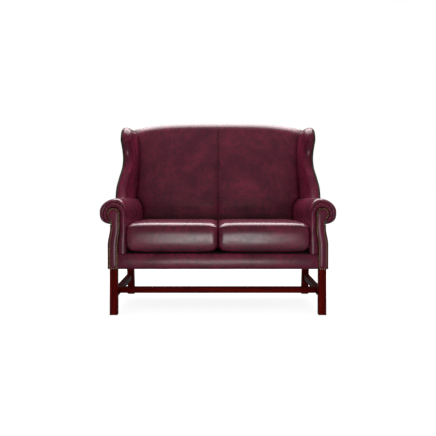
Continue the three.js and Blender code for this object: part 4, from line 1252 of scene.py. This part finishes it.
def beside_back(y, z):
    """How far out the back's padding may reach before it meets the arm or the wing."""
    limit = wing_inner(z) - SNUG
    ridge, inward, _, rise = arm_round(y)
    start = arm_shoulder(y)
    if z < start:
        limit = min(limit, ridge - inward - SNUG)
    elif z < SCROLL_Z + rise - 0.5:
        up = (z - start) / (SCROLL_Z + rise - start)
        limit = min(limit, ridge - inward * math.sqrt(1 - up * up) - SNUG)
    return limit


# %% The padding's thickness
PAD_THICKNESS = 51.0
BACK_CROWN = 13.0
LUMBAR = 15.0
LUMBAR_Z = 640.0
LUMBAR_SPREAD = 110.0
TOP_EASE = 12.0
SEAM_DEPTH = 8.0
SEAM_SPREAD = 17.0


def back_pad(x, across, z, rise):
    """How far the padding stands in front of the timber."""
    crown = max(0.0, math.sin(math.pi * min(1.0, across))) ** 0.6
    body = softstep(rise / 0.3) - softstep((rise - 0.5) / 0.5)
    lumbar = LUMBAR * math.exp(-(((z - LUMBAR_Z) / LUMBAR_SPREAD) ** 2)) * (1 - across**3)
    top_ease = TOP_EASE * max(0.0, (rise - 0.72) / 0.28) ** 2
    seam = SEAM_DEPTH * math.exp(-((x / SEAM_SPREAD) ** 2)) * (1 - rise * rise * 0.5)
    return PAD_THICKNESS + BACK_CROWN * crown * body + lumbar - top_ease - seam


# %% The back's section
ROLL_RADIUS = 30.0
ROLL_FRONT = 96.0
ROLL_START = math.radians(25)
ROLL_BEHIND = 4.0
BACK_STEPS = 60
ROLL_STEPS = 26


def back_profile(x, across):
    """The section of the back at a distance from the middle, as depth, height and place in it."""
    top = shoulder_height(x)
    last = top - ROLL_FRONT + ROLL_FRONT * math.sin(ROLL_START)
    points = []
    for z in even(ARM_FOOT, last, BACK_STEPS):
        rise = (z - ARM_FOOT) / (last - ARM_FOOT)
        points.append((back_line(z) - back_pad(x, across, z, rise), z, "pad"))
    under = top - ROLL_RADIUS
    rear = back_line(under) + POST + ROLL_BEHIND
    half = (rear - points[-1][0]) / (1 + math.cos(ROLL_START))
    for a in even(math.pi - ROLL_START, 0, ROLL_STEPS)[1:]:
        height = ROLL_FRONT if a > math.pi / 2 else ROLL_RADIUS
        y = rear - half + half * math.cos(a)
        points.append((y, top - height * (1 - math.sin(a)), "roll"))
    points.append((rear, under - FIT, "roll"))
    points.append((back_line(under) - WEBBING_DEPTH, under - FIT, "roll"))
    points.append((back_line(ARM_FOOT) - WEBBING_DEPTH, ARM_FOOT, "pad"))
    return points


# %% Back pieces
ROLL_END = 599.0
BACK_COLUMNS = 64
EDGE_TUCK = 3.5
EDGE_TUCK_RUN = 9 / 560  # as a share of the half back


def inside_back():
    rings = []
    for share in even(0, 1, BACK_COLUMNS):
        across = 1 - (1 - share) ** 1.15
        tuck = EDGE_TUCK * math.exp(-(((1 - across) / EDGE_TUCK_RUN) ** 2))
        ring = []
        for y, z, part in back_profile(across * SHOULDER_X, across):
            limit = beside_back(y, z)
            if part == "roll":
                limit = mix(limit, ROLL_END, softstep((y - back_line(z) + 30) / 40))
            else:
                y += tuck
            ring.append((FIT / 2 + across * (limit - FIT / 2), y, z))
        rings.append(ring)
    return loft(rings)


def back_seam_and_painted_shade(x, y, z):
    """Dark glaze in the seam; painted shade down behind the cushions, beside the wings and, a
    little, over the whole back.
    """
    seam = 0.6 * math.exp(-((x / 2.0) ** 2))
    # Painted shade behind the cushions, darkest just above them
    low = 0.5 * softstep((556 - z) / 50) + 0.15 * softstep((600 - z) / 60)
    # Painted shade where the back meets the wings
    painted_shade_by_wings = 0.3 * math.exp(-(((beside_back(y, z) - abs(x)) / 30) ** 2))
    # The last value paints a little shade over the whole back
    return max(seam, low, painted_shade_by_wings, 0.14)


for side, sign in SIDES:
    bm = mirrored(inside_back(), sign)
    uneven(bm, height=1.3, spacing=160, seed=53.0)
    gather_glaze_and_painted_shade(bm, back_seam_and_painted_shade)
    piece = finish(bm, f"back_{side}", padded_leather,
                   stands_for=[f"inside_back_{side}"], sharp=50)

# %% [markdown]
# ## Outside back
# The rear is closed by one panel of leather over lining, from the rear rail up to the roll, whose
# own arch it follows. It is a thin strip, so a flat section carried across is enough.

# %% Outside back
OUTSIDE_BACK_THICKNESS = 8.0
BACK_REACH = FRAME_SIDE + WING_OUTSET
TURNED_SHARE = 0.985
TURNED_EDGE = 4.0


def outside_back():
    rings = []
    for x in even(-BACK_REACH, BACK_REACH, 48):
        arch = shoulder_height(min(abs(x) / ROLL_END, 1.0) * SHOULDER_X)
        top = arch - ROLL_RADIUS - SNUG
        heights = [LEG_TOP, RAIL_TOP, *even(RAIL_TOP, top, 20)[1:]]
        side = max(0.0, abs(x) / BACK_REACH - TURNED_SHARE) / (1 - TURNED_SHARE)
        thickness = OUTSIDE_BACK_THICKNESS - TURNED_EDGE * side**2
        front = [(back_line(z) + POST + FIT, z) for z in heights]
        rear = [(y + thickness, z) for y, z in reversed(front)]
        rings.append([(x, y, z) for y, z in front + rear])
    return loft(rings)


bm = outside_back()
uneven(bm, height=0.6, spacing=240, seed=61.0)
finish(bm, "back_outside", panel_leather, stands_for=["outside_back"])

# %% [markdown]
# ## Back webbing
# Behind the padding the back is strung with jute webbing, 48 mm wide. The upright straps run from
# the lower rail to the top rail, and the cross straps are woven through them and tacked to the
# posts. Each strap is a flat section carried along its line. Cloth would sag where these are taut.

# %% One strap
STRAP = 48.0
STRAP_THICKNESS = 2.0
STRAP_COLUMNS = (84.5, 195.6, 306.7, 417.8)
STRAP_ROWS = 4
STRAP_END = 574.0
STRAP_EASE = 2.0  # a cross strap starts to turn this far beside an upright one
HEAD_SPACE = 62.0
UPRIGHT_HALF = 29.0
UPRIGHT_DEPTH = -1.3
FRONT_DEPTH, REAR_DEPTH = -3.6, 1.0
strap_foot, strap_head = (corner[2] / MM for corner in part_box("back_webbing"))
columns = sorted([*STRAP_COLUMNS, *(-x for x in STRAP_COLUMNS)])


def strap_ring(x, z, depth, across):
    """The four corners of a strap's section; across is its half width in x and in z."""
    dx, dz = across
    half = STRAP_THICKNESS / 2
    return [
        (x + sx * dx, back_line(z + sx * dz) + depth + sy * half, z + sx * dz)
        for sx, sy in ((-1, -1), (1, -1), (1, 1), (-1, 1))
    ]


# %% Webbing
def cross_strap(row, z, bm):
    knots = [(-STRAP_END, UPRIGHT_DEPTH), (STRAP_EASE - FRAME_SIDE + POST, UPRIGHT_DEPTH)]
    ends = [(-x, depth) for x, depth in reversed(knots)]
    for i, x in enumerate(columns):
        depth = FRONT_DEPTH if (i + row) % 2 else REAR_DEPTH
        reach = STRAP / 2 + STRAP_EASE
        knots += [(x - reach, depth), (x + reach, depth)]
        if i == len(columns) // 2 - 1:
            knots += [(-UPRIGHT_HALF - 1, UPRIGHT_DEPTH), (UPRIGHT_HALF + 1, UPRIGHT_DEPTH)]
    knots += ends
    rings = []
    for (x0, depth0), (x1, depth1) in zip(knots, knots[1:]):
        for t in even(0, 1, 6)[:-1]:
            depth = mix(depth0, depth1, softstep(t))
            rings.append(strap_ring(mix(x0, x1, t), z, depth, (0, STRAP / 2)))
    rings.append(strap_ring(STRAP_END, z, UPRIGHT_DEPTH, (0, STRAP / 2)))
    return loft(rings, bm)


bm = bmesh.new()
for x in columns:
    stations = even(strap_foot, strap_head, 16)
    loft([strap_ring(x, z, UPRIGHT_DEPTH, (STRAP / 2, 0)) for z in stations], bm)
for row in range(STRAP_ROWS):
    height = mix(ARM_RAIL_TOP, strap_head - HEAD_SPACE, (row + 0.5) / STRAP_ROWS)
    cross_strap(row, height, bm)
finish(bm, "webbing", jute, stands_for=["back_webbing"])

# %% [markdown]
# ## Seat platform and the cloth below
# Under the cushions a black platform is stretched over the springs, and a black cloth closes the
# frame from below. Both are plain flat shapes with an outline fitted round the frame, so they are
# drawn as slabs with softened edges.

# %% Platform
CUSHION_BASE = 356.4
DECK_THICKNESS = 11.0
DECK_FRONT = 21.0
deck_rear = back_line(CUSHION_BASE) - PAD_THICKNESS - BACK_CROWN - SNUG


def slab(corners, z0, z1, soften):
    bm = bmesh.new()
    base = bm.faces.new([bm.verts.new(at(x, y, z0)) for x, y in corners])
    top = bmesh.ops.extrude_face_region(bm, geom=[base])["geom"]
    moved = [item for item in top if isinstance(item, bmesh.types.BMVert)]
    bmesh.ops.translate(bm, verts=moved, vec=(0, 0, (z1 - z0) * MM))
    bmesh.ops.recalc_face_normals(bm, faces=bm.faces)
    bmesh.ops.bevel(bm, geom=list(bm.edges), offset=soften * MM, offset_type="OFFSET", segments=3,
                    profile=0.5, affect="EDGES", material=-1)
    return bm


half_front, half_rear = arm_inner(DECK_FRONT) - 1, arm_inner(deck_rear) - 1
deck_corners = [(-half_front, DECK_FRONT), (half_front, DECK_FRONT),
                (half_rear, deck_rear), (-half_rear, deck_rear)]
bm = slab(deck_corners, CUSHION_BASE - DECK_THICKNESS, CUSHION_BASE, soften=3.0)
piece = finish(bm, "platform", black_cloth, stands_for=["seat_deck"])

# %% Dust cloth
DUST_THICKNESS = 1.6
LEG_INSIDE, LEG_BACK = 569.5, 50.0
SIDE_LAP = 8.0
REAR_LAP = 36.0
dust_foot = LEG_TOP + FIT
beside_leg, beside_rail = LEG_INSIDE - FIT, FRAME_SIDE - SIDE_LAP
beside_post, before_post = FRAME_SIDE - POST - FIT, SEAT_DEPTH - FIT
half_dust = [
    (beside_leg, COVER_THICKNESS + FIT), (beside_leg, LEG_BACK + FIT),
    (beside_rail, LEG_BACK + FIT), (beside_rail, before_post),
    (beside_post, before_post), (beside_post, SEAT_DEPTH + REAR_LAP),
]
dust_corners = half_dust + [(-x, y) for x, y in reversed(half_dust)]
bm = slab(dust_corners, dust_foot, dust_foot + DUST_THICKNESS, soften=0.5)
dust = finish(bm, "dust_cloth", black_cloth, stands_for=["dust_cover"])

# %% [markdown]
# ## Seat cushions
# Each seat cushion is a box cushion: a top and a bottom panel sewn to a wall all round. Filled, its
# top rises in a crown and its wall swells, while the seams hold their line. The case is cut first
# as a flat-topped box with soft corners, then it is filled: a cloth simulation blows it up while
# the seams are held, which is what the stuffing does.

# %% Where a point of the case goes
CUSHION_FRONT = -3.0
LOW_SEAM = 375.5
HIGH_SEAM = 499.2
CORNER = 30.0
WALL_BULGE = 7.0
SIDE_BULGE = 3.0
SIDE_GAP = 1.2
MIDDLE_GAP = 1.0
CUSHION_REAR = back_line(LOW_SEAM) - PAD_THICKNESS - BACK_CROWN - SIDE_GAP


def round_corners(u, v, half_u, half_v):
    """Moves a point of a plain rectangle so that the rectangle gets round corners."""
    cx, cy = half_u - CORNER, half_v - CORNER
    du, dv = abs(u) - cx, abs(v) - cy
    if du <= 0 or dv <= 0:
        return u, v
    scale = max(du, dv) / math.hypot(du, dv)
    return math.copysign(cx + du * scale, u), math.copysign(cy + dv * scale, v)


def cushion_place(u, v, z, swell):
    """From the unit square to the seat: u across from the middle gap, v from front to back."""
    y0, y1 = CUSHION_FRONT + WALL_BULGE, CUSHION_REAR - WALL_BULGE
    x0 = MIDDLE_GAP + SIDE_BULGE
    x1 = arm_inner(y0) - SIDE_GAP - SIDE_BULGE
    half_u, half_v = (x1 - x0) / 2, (y1 - y0) / 2
    p, q = round_corners(u * half_u, v * half_v, half_u, half_v)
    p += math.copysign(swell * SIDE_BULGE / WALL_BULGE, u) * abs(u)
    q += math.copysign(swell, v) * abs(v)
    y = (y0 + y1) / 2 + q
    narrowing = (arm_inner(y) - SIDE_GAP - SIDE_BULGE - x0) / (x1 - x0)
    return at(x0 + (p + half_u) * narrowing, y, z)


# %% Cutting the empty case
GRID = 60
WALL_ROWS = 12
CROWN = 25.0
REAR_FALL = 0.6
SHOULDER_POWER = 13
BASE_POWER = 30
WALL_SWELL = 7.0
CORNER_LIFT = 11.0
BELLY = CUSHION_BASE + 0.9


def panel_rise(u, v, power, fall=0.0):
    """0 at the seams and up to 1 on the panel; fall takes that share off towards the rear."""
    return (1 - abs(u) ** power) * (1 - abs(v) ** power) * (1 - fall * (v + 1) / 2)


def cushion_case():
    bm = bmesh.new()
    for z in (LOW_SEAM, HIGH_SEAM):
        bmesh.ops.create_grid(bm, x_segments=GRID, y_segments=GRID, size=1.0,
                              matrix=Matrix.Translation((0, 0, z)))
    bmesh.ops.bridge_loops(bm, edges=[e for e in bm.edges if e.is_boundary])
    wall = [e for e in bm.edges if abs(e.verts[0].co.z - e.verts[1].co.z) > 1]
    bmesh.ops.subdivide_edges(bm, edges=wall, cuts=WALL_ROWS - 1, use_grid_fill=True)
    for vert in bm.verts:
        u, v, z = vert.co
        up = (z - LOW_SEAM) / (HIGH_SEAM - LOW_SEAM)
        swell = WALL_SWELL * (1 - abs(2 * up - 1) ** 3.4) if 0.01 < up < 0.99 else 0.0
        if up > 0.99:
            z += CROWN * panel_rise(u, v, SHOULDER_POWER, REAR_FALL)
        elif up < 0.01:
            z -= (LOW_SEAM - BELLY) * panel_rise(u, v, BASE_POWER)
        z += CORNER_LIFT * (1 - up) ** 2 * u**6 * v**4
        vert.co = cushion_place(u, v, z, swell)
    bmesh.ops.recalc_face_normals(bm, faces=bm.faces)
    return bm


# %% Seams of the case
def seam_edges(bm):
    """The edges where a panel is sewn to the wall."""
    found = []
    for height in (LOW_SEAM * MM, HIGH_SEAM * MM):
        edges = []
        for edge in bm.edges:
            if all(abs(v.co.z - height) < 0.05 * MM for v in edge.verts):
                normals = [abs(f.normal.z) for f in edge.link_faces]
                if len(normals) == 2 and abs(normals[0] - normals[1]) > 0.3:
                    edges.append(edge)
        found.append(edges)
    return found


def cushion_glaze(x, y, z):
    """The glaze stays in both seams."""
    return 0.45 * sum(math.exp(-(((z - seam) / 3) ** 2)) for seam in (LOW_SEAM, HIGH_SEAM))


# %% Filling the cushions
FILL_PRESSURE = 4.0
FILL_FRAMES = 20
FILL_CAP = 2.4


def fill_with_cloth(piece, seam_verts):
    """Blows the case up with its seams held, then keeps it within the cap and its neighbours."""
    start = [(v.co.copy(), v.normal.copy()) for v in piece.data.vertices]
    seams = piece.vertex_groups.new(name="seams")
    seams.add(seam_verts, 1.0, "REPLACE")
    cloth = piece.modifiers.new("filling", "CLOTH")
    settings = cloth.settings
    settings.use_pressure = True
    settings.uniform_pressure_force = FILL_PRESSURE
    settings.effector_weights.gravity = 0.0
    settings.vertex_group_mass = "seams"
    settings.quality = 5
    settings.bending_stiffness = 3.0
    cloth.collision_settings.use_collision = False
    scene = bpy.context.scene
    for number in range(1, FILL_FRAMES + 1):
        scene.frame_set(number)
    filled = piece.evaluated_get(bpy.context.evaluated_depsgraph_get())
    moves = [(v.co - a).length for v, (a, _) in zip(filled.to_mesh().vertices, start)]
    filled.to_mesh_clear()
    piece.modifiers.remove(cloth)
    piece.vertex_groups.clear()
    scene.frame_set(1)
    for vert, (a, normal), move in zip(piece.data.vertices, start, moves):
        place = a + normal * FILL_CAP * MM * math.tanh(move / (FILL_CAP * MM))
        reach = arm_inner((place.y - front_of_arms) / MM) - SIDE_GAP
        place.x = math.copysign(min(max(abs(place.x), MIDDLE_GAP * MM), reach * MM), a.x)
        vert.co = place
    print(piece.name, "filled: the free skin would move up to", round(max(moves) / MM, 1), "mm")


# %% Cushion pieces
for side, sign in SIDES:
    bm = mirrored(cushion_case(), sign)
    bm.normal_update()
    crease = bm.edges.layers.float.new("crease_edge")
    low, high = seam_edges(bm)
    for edges, tightness in ((low, 0.8), (high, 1.0)):
        for edge in edges:
            edge[crease] = tightness
            edge.smooth = False
    bm.verts.index_update()
    held = sorted({v.index for edge in low + high for v in edge.verts})
    uneven(bm, height=0.9, spacing=150, seed=70.0 + sign)
    gather_glaze_and_painted_shade(bm, cushion_glaze)
    piece = finish(bm, f"cushion_{side}", padded_leather,
                   body=f"{side}_cushion", stands_for=[f"seat_cushion_{side}"], sharp=60)
    fill_with_cloth(piece, held)
    smooth = piece.modifiers.new("smooth", "SUBSURF")
    smooth.levels = smooth.render_levels = 1

# %% [markdown]
# ## Nails
# The facings and the wings are closed by close rows of domed brass nails, about 11.5 mm apart. One
# head is modelled with a few dozen faces, and copied along each line with its back to the leather.
# A smoother dome on so many nails would only add faces that no view shows.

# %% One nail head
NAIL_PITCH = 11.5
NAIL_RADIUS = 3.8
NAIL_HEIGHT = 3.4


def nail_head():
    bm = bmesh.new()
    bmesh.ops.create_circle(bm, cap_ends=True, segments=10, radius=NAIL_RADIUS * MM)
    face = bm.faces[:][0]
    for radius, height in ((0.9, 0.45), (0.62, 0.82), (0.3, 0.97)):
        grown = bmesh.ops.extrude_face_region(bm, geom=[face])["geom"]
        face = next(item for item in grown if isinstance(item, bmesh.types.BMFace))
        for vert in face.verts:
            flat = Vector((vert.co.x, vert.co.y, 0)).normalized() * NAIL_RADIUS * radius * MM
            vert.co = (flat.x, flat.y, NAIL_HEIGHT * height * MM)
    worn = bm.verts.layers.float.new("worn")
    for vert in bm.verts:
        vert[worn] = softstep((vert.co.z / MM / NAIL_HEIGHT - 0.78) / 0.2)
    bmesh.ops.recalc_face_normals(bm, faces=bm.faces)
    mesh = bpy.data.meshes.new("nail_head")
    bm.to_mesh(mesh)
    bm.free()
    return mesh


head_mesh = nail_head()
print("one nail head has", len(head_mesh.polygons), "faces")


# %% A row of nails
def walk(points, pitch):
    """Places along a line, as near to the pitch as a whole number of them allows."""
    line = [Vector(p) for p in points]
    lengths = [(b - a).length for a, b in zip(line, line[1:])]
    total = sum(lengths)
    count = round(total / pitch)
    places = []
    for i in range(count + 1):
        rest = total * i / count
        k = 0
        while k < len(lengths) - 1 and rest > lengths[k]:
            rest -= lengths[k]
            k += 1
        share = min(1.0, rest / lengths[k]) if lengths[k] else 0.0
        places.append(line[k].lerp(line[k + 1], share))
    return places


def nail_row(places, out, name):
    """out is the direction in which the heads look."""
    bm = bmesh.new()
    turn = Vector(out).to_track_quat("Z", "Y").to_matrix().to_4x4()
    for place in places:
        before = set(bm.verts)
        bm.from_mesh(head_mesh)
        fresh = [v for v in bm.verts if v not in before]
        bmesh.ops.transform(bm, matrix=Matrix.Translation(place) @ turn, verts=fresh)
    print(len(places), "nails in", name)
    return finish(bm, name, brass, sharp=60)


# %% Nails round the facings
NAIL_FOOT = LEG_TOP + 4.5
NAIL_SUNK = 0.2

for side, sign in SIDES:
    outline = [(x * sign, NAIL_DEPTH + NAIL_SUNK, z) for x, z in keyhole(NAIL_FOOT, 0.0)]
    places = [at(*point) for point in walk([*outline, outline[0]], NAIL_PITCH)[:-1]]
    nail_row(places, (0, -1, 0), f"facing_nails_{side}")

# %% Nails along the wings
NAIL_LAST = 0.93

for side, sign in SIDES:
    start = meets_arm("tip", NAIL_TURN) + 0.01
    line = [wing_skin(s, "tip", NAIL_TURN) for s in even(start, NAIL_LAST, 120)]
    places = [at(p.x * sign, p.y, p.z) for p in walk(line, NAIL_PITCH)]
    out = (math.cos(NAIL_TURN) / NOSE_OUTER * sign, -math.sin(NAIL_TURN) / NOSE_LENGTH_OUTSIDE, 0)
    nail_row(places, out, f"wing_nails_{side}")
